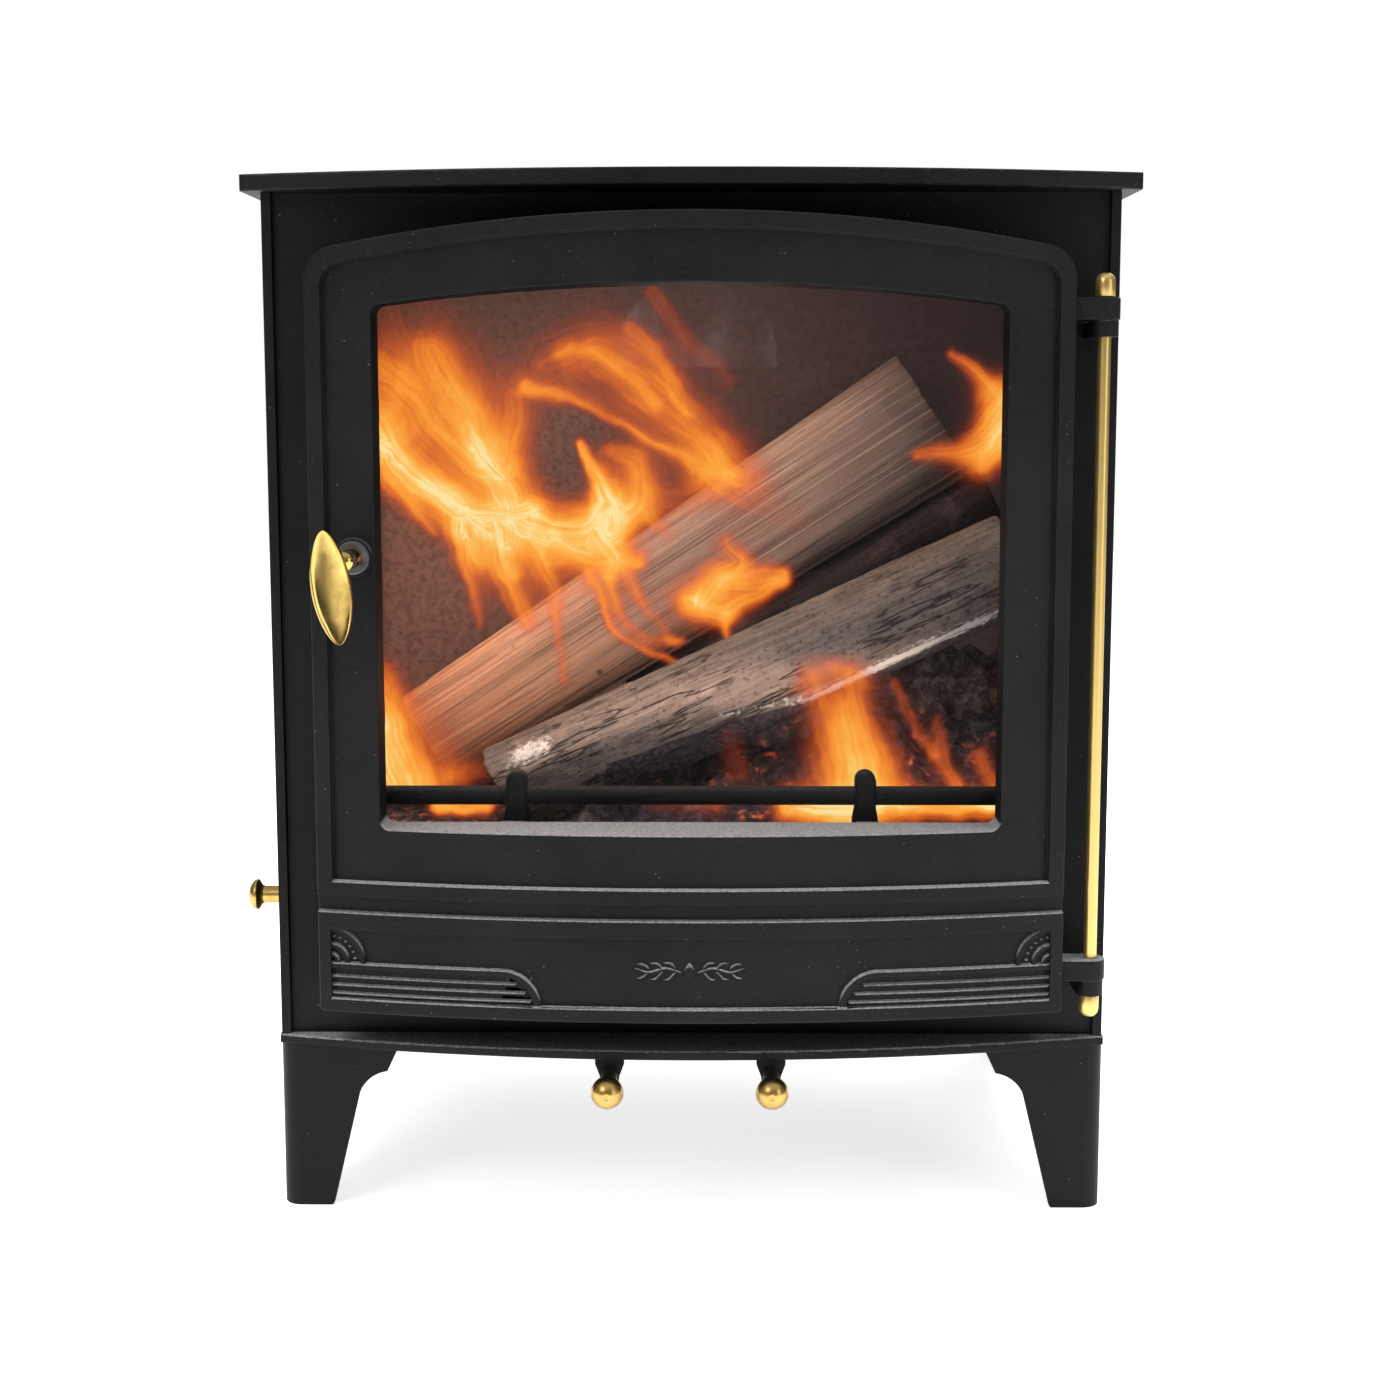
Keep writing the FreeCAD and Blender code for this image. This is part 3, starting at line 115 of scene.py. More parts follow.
class Tree:
    """A node tree under construction."""

    def __init__(self, node_tree: bpy.types.NodeTree) -> None:
        """Start from an empty tree."""
        self.nodes = node_tree.nodes
        self.links = node_tree.links
        self.nodes.clear()

    def node(
        self, kind: str, settings: dict[str, Any] | None = None,
        sockets: dict[str | int, Term] | None = None, output: str | int = 0,
    ) -> Signal:
        """Add one node.

        Args:
            kind: Node type, such as ShaderNodeTexNoise.
            settings: Properties set before anything else; "stops" gives a ramp's (place, colour) pairs.
            sockets: Values or signals for the inputs, by name or number.
            output: Output to return, by name or number.

        Returns:
            The chosen output.
        """
        made = self.nodes.new(kind)
        for key, value in (settings or {}).items():
            if key == "stops":
                self._set_stops(made.color_ramp, value)
            else:
                setattr(made, key, value)
        for key, value in (sockets or {}).items():
            socket = made.inputs[key]
            if isinstance(value, Signal):
                self.links.new(value.socket, socket)
            elif socket.type == "RGBA":
                socket.default_value = (*value, 1.0)
            else:
                socket.default_value = value
        return Signal(self, made.outputs[output] if len(made.outputs) else None)

    @staticmethod
    def _set_stops(ramp: bpy.types.ColorRamp, stops: Sequence[tuple[float, Colour]]) -> None:
        """Give a ramp its stops.

        Args:
            ramp: Ramp of a fresh node, which has two stops.
            stops: Place and colour of every stop, in order.
        """
        while len(ramp.elements) < len(stops):
            ramp.elements.new(1.0)
        for element, (place, colour) in zip(ramp.elements, stops):
            element.position = place
            element.color = (*colour, 1.0)

    def place(self) -> Signal:
        """Position on the object, which moves with it."""
        return self.node("ShaderNodeTexCoord", output="Object")

    def own(self, name: str, output: str = "Vector") -> Signal:
        """A value that the mesh carries under this name."""
        return self.node("ShaderNodeAttribute", {"attribute_name": name}, output=output)

    def scaled(self, vector: Term, factors: Colour) -> Signal:
        """Vector times a factor for each axis."""
        return self.node("ShaderNodeVectorMath", {"operation": "MULTIPLY"}, {0: vector, 1: factors})

    def part(self, vector: Term, axis: int) -> Signal:
        """One component of a vector."""
        return self.node("ShaderNodeSeparateXYZ", sockets={0: vector}, output=axis)

    def noise(self, vector: Term, scale: float, detail: float = 3.0, roughness: float = 0.55) -> Signal:
        """Smooth noise from 0 to 1."""
        sockets = {"Vector": vector, "Scale": scale, "Detail": detail, "Roughness": roughness}
        return self.node("ShaderNodeTexNoise", sockets=sockets)

    def cells(self, vector: Term, scale: float) -> Signal:
        """Distance from the nearest cell's centre."""
        return self.node("ShaderNodeTexVoronoi", None, {"Vector": vector, "Scale": scale}, "Distance")

    def span(self, value: Term, low: float, high: float, start: float = 0.0, end: float = 1.0) -> Signal:
        """Smooth step from start to end while the value goes from low to high.

        Args:
            value: Value to map.
            low: Value that gives start.
            high: Value that gives end.
            start: Result at and below low.
            end: Result at and above high.

        Returns:
            The mapped value.
        """
        sockets = {"Value": value, "From Min": low, "From Max": high, "To Min": start, "To Max": end}
        return self.node("ShaderNodeMapRange", {"interpolation_type": "SMOOTHSTEP"}, sockets)

    def ramp(self, value: Term, stops: Sequence[tuple[float, Colour]]) -> Signal:
        """Colour from a ramp."""
        return self.node("ShaderNodeValToRGB", {"stops": stops}, {"Fac": value})

    def blend(self, share: Term, first: Term, second: Term, how: str = "MIX") -> Signal:
        """Colour between two colours.

        Args:
            share: Share of the second colour.
            first: Colour at share 0.
            second: Colour at share 1.
            how: Blend type of the Mix node.

        Returns:
            The mixed colour.
        """
        settings = {"data_type": "RGBA", "blend_type": how}
        return self.node("ShaderNodeMix", settings, {0: share, 6: first, 7: second}, 2)

    def upward(self, low: float = 0.55, high: float = 0.95) -> Signal:
        """How far a face looks up: 0 where its normal rises by low or less, 1 where by high or more."""
        return self.span(self.part(self.node("ShaderNodeNewGeometry", output="Normal"), 2), low, high)

    def line(self, value: Term, half: float) -> Signal:
        """1 where the value is 0.5, falling to 0 at half to either side."""
        return self.span(self.node("ShaderNodeMath", {"operation": "ABSOLUTE"}, {0: value - 0.5}), half, 0.0)

    def bump(self, height: Term, distance: float) -> Signal:
        """Normal from a height of 0 to 1 that stands for this distance in metres."""
        return self.node("ShaderNodeBump", sockets={"Height": height, "Distance": distance})

    def surface(self, sockets: dict[str | int, Term]) -> None:
        """End the tree in a Principled surface with these sockets."""
        shader = self.node("ShaderNodeBsdfPrincipled", sockets=sockets)
        self.node("ShaderNodeOutputMaterial", sockets={"Surface": shader})


# ---------------------------------------------------------------- finishes
@dataclass(frozen=True)
class Finish:
    """A surface finish, laid once and shared by every piece that takes it."""

    name: str

    def material(self) -> bpy.types.Material:
        """The material of this name: one that the frame brings, or else one laid here at its first use.

        Returns:
            The shared material.
        """
        found = bpy.data.materials.get(self.name)
        if found is None:
            found = bpy.data.materials.new(self.name)
            found.use_nodes = True
            self.lay(Tree(found.node_tree))
        return found

    def lay(self, tree: Tree) -> None:
        """Build the node tree; each finish has its own."""
        raise NotImplementedError


@dataclass(frozen=True)
class StovePaint(Finish):
    """Matt heat-proof black paint: grain of what lies under it, pale specks, and up-facing ledges lightened
    as a painted highlight, partly settled dust.
    """

    tone: float = 0.004
    grain_scale: float = 700.0
    grain_height: float = 0.0002
    roughness: float = 0.5
    # ledge, ledge_from and ledge_top set a painted highlight, with some settled dust, on upward faces below a
    # height.
    ledge: float = 0.3
    ledge_from: float = 0.5
    ledge_top: float = 1.0
    crest: Colour = (0.022, 0.022, 0.023)
    ledge_dust_and_sheen: Colour = (0.27, 0.274, 0.28)
    fleck: Colour = (0.4, 0.4, 0.39)

    def lay(self, tree: Tree) -> None:
        """Tone drift, grain, specks, and a painted highlight with some settled dust on upward faces below a
        height.
        """
        place = tree.place()
        grain = tree.noise(place, self.grain_scale, 3.0, 0.65)
        drift = tree.noise(place, 11.0, 4.0, 0.6)
        dark = (self.tone * 0.7, self.tone * 0.72, self.tone * 0.76)
        light = (self.tone * 1.5, self.tone * 1.5, self.tone * 1.54)
        coat = tree.blend(tree.span(drift, 0.3, 0.7), dark, light)
        coat = tree.blend(tree.span(grain, 0.52, 0.8, 0.0, 0.45), coat, self.crest)
        speck = tree.span(tree.cells(place, 240.0), 0.09, 0.03)
        speck = speck * tree.span(tree.noise(place, 75.0, 2.0), 0.58, 0.64)
        # Painted highlight, partly settled dust: upward faces are lightened towards the pale colour, broken
        # by fine noise, and only below the height ledge_top.
        ledge_sheen_and_dust = tree.upward(self.ledge_from, self.ledge_from + 0.35)
        ledge_sheen_and_dust = ledge_sheen_and_dust * tree.span(tree.noise(place, 800.0, 3.0, 0.8), 0.36, 0.62, 0.3, 1.0)
        ledge_sheen_and_dust = ledge_sheen_and_dust * tree.span(tree.part(place, 2), self.ledge_top, self.ledge_top - 0.06)
        coat = tree.blend(ledge_sheen_and_dust * self.ledge, coat, self.ledge_dust_and_sheen)
        coat = tree.blend(speck * 0.7, coat, self.fleck)
        relief = grain + 0.35 * tree.noise(place, self.grain_scale * 0.3, 2.0)
        tree.surface({
            "Base Color": coat,
            "Roughness": self.roughness + 0.16 * (grain - 0.5) + 0.12 * (drift - 0.5),
            "Specular IOR Level": 0.13,
            "Normal": tree.bump(relief, self.grain_height),
        })


@dataclass(frozen=True)
class Brass(Finish):
    """Polished brass with tarnish in clouds and fine polishing marks."""

    clean: Colour = (0.66, 0.45, 0.135)
    tarnish: Colour = (0.30, 0.20, 0.055)
    tarnished: float = 0.55
    marks: Colour = (260.0, 260.0, 50.0)
    roughness: float = 0.1
    pitted: Colour = (0.10, 0.06, 0.03)

    def lay(self, tree: Tree) -> None:
        """Clouds of tarnish, polishing marks and small dark pits."""
        place = tree.place()
        cloud = tree.span(tree.noise(place, 60.0, 5.0, 0.62), 0.42, 0.74)
        mark = tree.noise(tree.scaled(place, self.marks), 1.0, 3.0, 0.6)
        pit = tree.span(tree.cells(place, 420.0), 0.16, 0.05)
        pit = pit * tree.span(tree.noise(place, 150.0), 0.56, 0.64)
        metal = tree.blend(cloud * self.tarnished, self.clean, self.tarnish)
        metal = tree.blend(tree.span(mark, 0.45, 0.75, 0.0, 0.3), metal, self.tarnish)
        metal = tree.blend(pit * 0.6, metal, self.pitted)
        tree.surface({
            "Base Color": metal,
            "Metallic": 1.0,
            "Roughness": self.roughness + 0.2 * cloud * self.tarnished + 0.1 * mark,
            "Normal": tree.bump(mark, 0.00002),
        })


@dataclass(frozen=True)
class Steel(Finish):
    """Bare or zinc plated steel with drawn lines and faint stains."""

    clean: Colour = (0.55, 0.55, 0.54)
    stain: Colour = (0.28, 0.25, 0.22)
    roughness: float = 0.3

    def lay(self, tree: Tree) -> None:
        """Drawn lines and stains."""
        place = tree.place()
        line = tree.noise(tree.scaled(place, (900.0, 60.0, 900.0)), 1.0, 3.0, 0.6)
        stain = tree.span(tree.noise(place, 90.0, 5.0, 0.6), 0.45, 0.75)
        tree.surface({
            "Base Color": tree.blend(stain, self.clean, self.stain),
            "Metallic": 1.0,
            "Roughness": self.roughness + 0.2 * stain + 0.15 * line,
            "Normal": tree.bump(line, 0.00004),
        })


@dataclass(frozen=True)
class SootedSteel(Finish):
    """Plate inside the firebox: scaled grey-brown steel under soot."""

    scale_tone: Colour = (0.10, 0.085, 0.078)
    soot_tone: Colour = (0.014, 0.012, 0.012)
    ash: float = 0.35

    def lay(self, tree: Tree) -> None:
        """Soot in clouds over scale, ash on upward faces."""
        place = tree.place()
        cloud = tree.noise(place, 26.0, 6.0, 0.62)
        flake = tree.noise(place, 380.0, 4.0, 0.7)
        skin = tree.blend(tree.span(cloud, 0.35, 0.62), self.scale_tone, self.soot_tone)
        skin = tree.blend(tree.span(flake, 0.55, 0.8, 0.0, 0.5), skin, (0.19, 0.13, 0.10))
        ash = tree.upward() * tree.span(tree.noise(place, 170.0, 5.0, 0.7), 0.42, 0.6)
        tree.surface({
            "Base Color": tree.blend(ash * self.ash, skin, (0.42, 0.39, 0.37)),
            "Roughness": 0.72 + 0.2 * (cloud - 0.5),
            "Specular IOR Level": 0.3,
            "Normal": tree.bump(flake + cloud, 0.0004),
        })


@dataclass(frozen=True)
class FireBrick(Finish):
    """Pressed vermiculite board: buff, flecked, with soot licks."""

    def lay(self, tree: Tree) -> None:
        """Flakes, crumbs and soot in upright streaks."""
        place = tree.place()
        flake = tree.cells(place, 330.0)
        crumb = tree.noise(place, 700.0, 3.0, 0.7)
        soot = tree.span(tree.noise(tree.scaled(place, (14.0, 14.0, 5.0)), 1.0, 6.0, 0.66), 0.38, 0.66)
        board = tree.blend(tree.span(flake, 0.1, 0.7), (0.50, 0.36, 0.25), (0.34, 0.24, 0.17))
        board = tree.blend(tree.span(crumb, 0.55, 0.75, 0.0, 0.6), board, (0.62, 0.47, 0.30))
        tree.surface({
            "Base Color": tree.blend(soot * 0.85, board, (0.055, 0.042, 0.04)),
            "Roughness": 0.93,
            "Specular IOR Level": 0.15,
            "Normal": tree.bump(flake * 0.6 + crumb, 0.0006),
        })


@dataclass(frozen=True)
class Timber(Finish):
    """Split hardwood with the fire's light painted into its colour: straight grain, firelit orange at its
    lower end, darker towards its upper end.
    """

    length: float = 0.41

    def lay(self, tree: Tree) -> None:
        """Grain lines along the log over a painted change from firelit to shaded."""
        wood = tree.own("grain")
        fine = tree.noise(tree.scaled(wood, (6.0, 760.0, 760.0)), 1.0, 3.0, 0.6)
        coarse = tree.noise(tree.scaled(wood, (3.0, 210.0, 210.0)), 1.0, 5.0, 0.72)
        patch = tree.noise(wood, 16.0, 5.0, 0.6)
        along = tree.part(wood, 0) * (1.0 / self.length) + 0.22 * (patch - 0.5)
        # Painted firelight: bright orange at the log's lower end by the flames, darkening to painted shade at
        # its upper end.
        tone = tree.ramp(along, (
            (0.0, (0.52, 0.235, 0.135)), (0.22, (0.42, 0.215, 0.14)), (0.5, (0.30, 0.185, 0.14)),
            (0.75, (0.20, 0.135, 0.11)), (0.93, (0.12, 0.088, 0.078)), (1.0, (0.045, 0.034, 0.034)),
        ))
        tone = tree.blend(tree.span(coarse, 0.46, 0.62, 0.0, 0.5), tone, (0.11, 0.062, 0.046))
        tone = tree.blend(tree.span(fine, 0.52, 0.68, 0.0, 0.62), tone, (0.05, 0.03, 0.024))
        tone = tree.blend(tree.span(fine, 0.42, 0.3, 0.0, 0.3), tone, (0.62, 0.42, 0.30))
        knot = tree.span(tree.cells(wood, 26.0), 0.09, 0.03)
        knot = knot * tree.span(tree.noise(wood, 12.0, 2.0), 0.5, 0.56, 0.0, 0.7)
        tree.surface({
            "Base Color": tree.blend(knot, tone, (0.04, 0.025, 0.02)),
            "Roughness": 0.86,
            "Specular IOR Level": 0.2,
            "Normal": tree.bump(coarse + 0.5 * fine, 0.0011),
        })


@dataclass(frozen=True)
class Char(Finish):
    """Burnt log: grey-brown weathered wood, black checks and crumbs, ash left on its ridges."""

    body: Colour = (0.165, 0.128, 0.114)
    pale: Colour = (0.22, 0.166, 0.142)
    ash: float = 0.85

    def lay(self, tree: Tree) -> None:
        """Long grain, cracks along it, black pits, ash, and an underside darkened partly by char and partly
        as painted shade.
        """
        wood = tree.own("grain")
        grain = tree.noise(tree.scaled(wood, (18.0, 300.0, 300.0)), 1.0, 5.0, 0.7)
        crack = tree.line(tree.noise(tree.scaled(wood, (7.0, 70.0, 70.0)), 1.0, 3.0, 0.6), 0.022)
        crack = crack * tree.span(tree.noise(wood, 21.0, 2.0), 0.44, 0.56)
        pit = tree.noise(tree.scaled(wood, (300.0, 360.0, 360.0)), 1.0, 4.0, 0.7)
        patch = tree.noise(wood, 34.0, 5.0, 0.65)
        tone = tree.blend(tree.span(grain, 0.38, 0.62), self.body, tuple(0.6 * part for part in self.body))
        tone = tree.blend(tree.span(patch, 0.5, 0.62, 0.0, 0.4), tone, self.pale)
        # The soot attribute marks the underside, whose tone is darkened as painted shade, partly char and
        # soot.
        dark = tree.span(tree.own("soot", "Fac") + 0.55 * (patch - 0.5) + 0.2 * (pit - 0.5), 0.42, 0.62)
        under = tree.blend(tree.span(pit, 0.42, 0.66), (0.028, 0.021, 0.026), (0.085, 0.066, 0.072))
        tone = tree.blend(dark * 0.96, tone, under)
        hole = tree.span(pit, 0.56, 0.64, 0.0, 0.7) * (1.0 - 0.7 * dark)
        tone = tree.blend(hole, tone, (0.02, 0.016, 0.016))
        tone = tree.blend(crack * 0.85, tone, (0.014, 0.011, 0.011))
        ash = tree.span(tree.own("ash", "Fac") + 0.7 * (patch - 0.5) + 1.5 * (pit - 0.5), 0.42, 0.8)
        tree.surface({
            "Base Color": tree.blend(ash * self.ash, tone, (0.62, 0.585, 0.57)),
            "Roughness": 0.9,
            "Specular IOR Level": 0.2,
            "Normal": tree.bump(grain - 0.9 * crack + 0.6 * pit, 0.0016),
        })


@dataclass(frozen=True)
class Embers(Finish):
    """Bed of charcoal and ash, violet-grey, with fire in some of its gaps."""

    def lay(self, tree: Tree) -> None:
        """Coals, ash on their crowns and fire between them."""
        place = tree.place()
        coal = tree.cells(place, 90.0)
        mottle = tree.noise(place, 120.0, 6.0, 0.7)
        crumb = tree.noise(place, 600.0, 3.0, 0.7)
        tone = tree.blend(tree.span(mottle, 0.4, 0.66), (0.022, 0.017, 0.021), (0.075, 0.058, 0.065))
        ash = tree.span(tree.own("ash", "Fac") + 0.8 * (mottle - 0.5) + 0.4 * (crumb - 0.5), 0.5, 0.85)
        tone = tree.blend(ash * 0.4, tone, (0.30, 0.27, 0.28))
        glow = tree.own("glow", "Fac") * tree.span(coal, 0.5, 0.85) * tree.span(mottle, 0.5, 0.66)
        fire = tree.ramp(glow, (
            (0.0, (0.0, 0.0, 0.0)), (0.35, (0.5, 0.05, 0.008)), (1.0, (1.0, 0.42, 0.08)),
        ))
        tree.surface({
            "Base Color": tone,
            "Roughness": 0.92,
            "Specular IOR Level": 0.2,
            "Emission Color": fire,
            "Emission Strength": 1.0,
            "Normal": tree.bump(mottle + 0.6 * crumb, 0.0016),
        })


@dataclass(frozen=True)
class Flame(Finish):
    """Glowing gas: its colour and body follow the heat that the mesh carries, streaked along its flow."""

    strength: float = 1.05

    def lay(self, tree: Tree) -> None:
        """Fine streaks along the flow over the mesh's heat."""
        flow = tree.own("flow")
        streak = tree.noise(tree.scaled(flow, (22.0, 330.0, 1.0)), 1.0, 4.0, 0.6)
        curl = tree.noise(tree.place(), 40.0, 5.0, 0.62)
        heat = tree.own("warmth", "Fac") * (0.56 + 0.5 * streak + 0.34 * curl)
        tree.surface({
            "Base Color": (0.0, 0.0, 0.0),
            "Roughness": 1.0,
            "Specular IOR Level": 0.0,
            "Emission Color": tree.ramp(heat, (
                (0.0, (0.22, 0.024, 0.008)), (0.2, (0.48, 0.052, 0.012)), (0.42, (0.84, 0.135, 0.018)),
                (0.62, (0.98, 0.265, 0.027)), (0.8, (1.0, 0.40, 0.055)), (0.91, (1.0, 0.56, 0.13)),
                (1.0, (1.0, 0.78, 0.34)),
            )),
            "Emission Strength": self.strength,
            "Alpha": tree.span(heat, 0.01, 0.78, 0.0, 0.96),
        })


@dataclass(frozen=True)
class Smoke(Finish):
    """Smoke behind the fire, glowing with painted firelight: warm brown on the left, dull mauve on the right,
    grainy.
    """

    def lay(self, tree: Tree) -> None:
        """Painted firelight that changes across and dims upwards, given as glow, with billows and a fine
        grain.
        """
        place = tree.place()
        billow = tree.noise(tree.scaled(place, (9.0, 9.0, 6.0)), 1.0, 4.0, 0.55)
        grain = tree.noise(place, 210.0, 4.0, 0.7)
        across = tree.part(place, 0) * 2.2 + 0.5 + 0.35 * (billow - 0.5)
        rise = tree.span(tree.part(place, 2), 0.42, 0.60)
        low = tree.ramp(across, (
            (0.0, (0.23, 0.105, 0.075)), (0.35, (0.19, 0.095, 0.072)), (0.6, (0.085, 0.050, 0.045)),
            (1.0, (0.055, 0.037, 0.038)),
        ))
        high = tree.ramp(across, (
            (0.0, (0.095, 0.055, 0.038)), (0.4, (0.082, 0.047, 0.042)), (1.0, (0.038, 0.026, 0.027)),
        ))
        tone = tree.blend(rise, low, high)
        tone = tree.blend(tree.span(grain, 0.38, 0.66, 0.0, 0.45), tone, (0.03, 0.02, 0.02))
        # The smoke's colour is also its glow: painted firelight, though the sheet is no lamp.
        tree.surface({
            "Base Color": tree.blend(1.0, tone, (0.3, 0.3, 0.3), "MULTIPLY"),
            "Roughness": 1.0,
            "Specular IOR Level": 0.0,
            "Emission Color": tone,
            "Emission Strength": 0.5,
            "Alpha": tree.own("body", "Fac") * tree.span(billow, 0.2, 0.6, 0.86, 1.0),
        })


@dataclass(frozen=True)
class Pane(Finish):
    """Heat-proof glass, thinly hazed by smoke towards its rim."""

    def lay(self, tree: Tree) -> None:
        """Almost clear, with a little haze in clouds."""
        place = tree.place()
        haze = tree.noise(tree.scaled(place, (12.0, 12.0, 7.0)), 1.0, 5.0, 0.6)
        tree.surface({
            "Base Color": tree.blend(haze, (0.12, 0.11, 0.10), (0.05, 0.045, 0.04)),
            "Roughness": tree.span(haze, 0.3, 0.8, 0.03, 0.1),
            "IOR": 1.47,
            "Alpha": tree.span(haze, 0.35, 0.8, 0.012, 0.035),
        })


@dataclass(frozen=True)
class Rope(Finish):
    """Braided glass-fibre rope, greyed by use."""

    def lay(self, tree: Tree) -> None:
        """Two crossing sets of plaits with fibre fuzz."""
        place = tree.place()
        fuzz = tree.noise(place, 1500.0, 3.0, 0.7)
        weave = {"Scale": 150.0, "Distortion": 1.5, "Detail": 2.0}
        plait, cross = (
            tree.node("ShaderNodeTexWave", {"bands_direction": "DIAGONAL"}, {"Vector": way, **weave}, "Fac")
            for way in (place, tree.scaled(place, (-1.0, 1.0, 1.0)))
        )
        braid = plait * cross
        tone = tree.blend(braid, (0.028, 0.027, 0.026), (0.12, 0.118, 0.112))
        tree.surface({
            "Base Color": tree.blend(tree.span(fuzz, 0.5, 0.75, 0.0, 0.5), tone, (0.22, 0.215, 0.20)),
            "Roughness": 0.95,
            "Specular IOR Level": 0.15,
            "Normal": tree.bump(braid + 0.4 * fuzz, 0.0012),
        })


@dataclass(frozen=True)
class StudioFloor(Finish):
    """Plain pale floor with the faintest unevenness."""

    def lay(self, tree: Tree) -> None:
        """Near-white with a slight drift of tone."""
        drift = tree.noise(tree.place(), 0.8, 3.0)
        tree.surface({
            "Base Color": tree.blend(drift, (0.93, 0.93, 0.93), (0.88, 0.88, 0.885)),
            "Roughness": 0.9,
            "Specular IOR Level": 0.1,
            "Emission Color": (1.0, 1.0, 1.0),
            "Emission Strength": 0.72,
        })


# ledge sets how strongly each paint's upward faces carry a painted highlight with some settled dust.
PLATE_PAINT = StovePaint("plate_paint", ledge=0.07)
SHEEN_AND_DUST_PAINT = StovePaint("sheen_and_dust_plate_paint", ledge=1.0, ledge_from=0.3)
FLUE_PAINT = StovePaint("flue_paint", 0.0046, 480.0, 0.0003, ledge=0.08)
CAST_PAINT = StovePaint("cast_paint", 0.0046, 480.0, 0.0003, ledge=0.85, ledge_from=0.12, ledge_top=0.44)
GUARD_PAINT = StovePaint("guard_paint", 0.004, 520.0, 0.0003, ledge=0.06)
BRASS = Brass("polished_brass")
KNOB_BRASS = Brass("worn_brass", clean=(0.50, 0.33, 0.10), tarnish=(0.24, 0.15, 0.045), roughness=0.24)
ROD_BRASS = Brass(
    "aged_brass", clean=(0.105, 0.062, 0.0175), tarnish=(0.05, 0.028, 0.009), tarnished=0.8,
    marks=(1400.0, 1400.0, 30.0), roughness=0.38,
)
BRIGHT_STEEL = Steel("bright_steel")
DULL_STEEL = Steel("dull_steel", clean=(0.16, 0.16, 0.17), stain=(0.05, 0.048, 0.047), roughness=0.34)
ZINC = Steel("zinc_plate", clean=(0.62, 0.61, 0.58), stain=(0.42, 0.40, 0.34), roughness=0.36)
INNER_STEEL = SootedSteel("sooted_steel")
GRATE_IRON = SootedSteel(
    "grate_iron", scale_tone=(0.034, 0.031, 0.03), soot_tone=(0.011, 0.0105, 0.0105), ash=0.25,
)
BOARD = FireBrick("fire_brick")
TIMBER = Timber("split_timber")
CHAR = Char("charred_log")
# Partly char and partly painted shade: this near-black log stands in for the shade under the split log.
CHAR_IN_SHADE = Char("burnt_log_in_shade", body=(0.026, 0.017, 0.017), pale=(0.06, 0.036, 0.034), ash=0.1)
EMBERS = Embers("ember_bed")
FLAME = Flame("flame")
SMOKE = Smoke("smoke")
PANE = Pane("hazed_glass")
ROPE = Rope("braided_rope")
FLOOR = StudioFloor("pale_floor")


# ---------------------------------------------------------------- mesh helpers
def at(x: float, depth: float, z: float) -> Vector:
    """Point in metres from millimetres across, behind the side panels' front edges, and up."""
    return Vector((x * MM, FRONT_Y + depth * MM, z * MM))


def placed(points: np.ndarray) -> np.ndarray:
    """Millimetre points (x, depth, z) as metres in the frame.

    Args:
        points: Array of shape (n, 3).

    Returns:
        Array of the same shape.
    """
    return points * MM + np.array((0.0, FRONT_Y, 0.0))


def add_piece(
    name: str, points: np.ndarray, faces: Sequence[Sequence[int]], finish: Finish, body: str
) -> bpy.types.Object:
    """Make a smooth mesh object that rides on a body.

    Args:
        name: Name of the piece.
        points: Vertices in millimetres, (x, depth, z).
        faces: Vertex numbers of each face.
        finish: Surface finish.
        body: Body that the piece moves with.

    Returns:
        The object.
    """
    mesh = bpy.data.meshes.new(name)
    mesh.from_pydata(placed(np.asarray(points, float)).tolist(), [], [list(face) for face in faces])
    mesh.polygons.foreach_set("use_smooth", [True] * len(mesh.polygons))
    mesh.materials.append(finish.material())
    mesh.update()
    piece = bpy.data.objects.new(name, mesh)
    bpy.context.scene.collection.objects.link(piece)
    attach(piece, body)
    log.info("%s: %d faces on %s", name, len(mesh.polygons), body)
    # """Wide flat floor."""
    return piece


def carry(piece: bpy.types.Object, name: str, values: np.ndarray) -> None:
    """Store a value at every vertex: a number, or a vector for an array of shape (n, 3).

    Args:
        piece: Mesh object.
        name: Name that the finish reads.
        values: One row for each vertex.
    """
    kind, key = ("FLOAT_VECTOR", "vector") if values.ndim == 2 else ("FLOAT", "value")
    stored = piece.data.attributes.new(name, kind, "POINT")
    stored.data.foreach_set(key, values.astype(np.float32).ravel())


def soften(piece: bpy.types.Object, width: float, segments: int = 2) -> None:
    """Round a piece's sharp edges with modifiers, and shade its flats flat.

    Args:
        piece: Mesh object.
        width: Width of the rounding in millimetres.
        segments: Facets across the rounding; with three or more, short edges don't hold it back.
    """
    weld = piece.modifiers.new("weld", "WELD")
    weld.merge_threshold = 0.00001
    flats = piece.modifiers.new("whole_flats", "DECIMATE")
    flats.decimate_type = "DISSOLVE"
    flats.angle_limit = math.radians(0.6)
    bevel = piece.modifiers.new("rounded_edges", "BEVEL")
    bevel.width = width * MM
    bevel.segments = segments
    bevel.use_clamp_overlap = segments < 3
    bevel.limit_method = "ANGLE"
    bevel.angle_limit = math.radians(32.0)
    even = piece.modifiers.new("even_shading", "WEIGHTED_NORMAL")
    even.keep_sharp = False


def dress(names: Iterable[str], finish: Finish, edge: float = 0.0) -> None:
    """Lay a finish on nodes of the frame.

    Args:
        names: Nodes of the frame.
        finish: Surface finish.
        edge: Width of the edges' rounding in millimetres; zero leaves them alone.
    """
    for name in names:
        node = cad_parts[name]
        if not node.material_slots:
            node.data.materials.append(finish.material())
        for slot in node.material_slots:
            slot.material = finish.material()
        if edge > 0.0:
            soften(node, edge)
        log.info("%s: %s", name, finish.name)


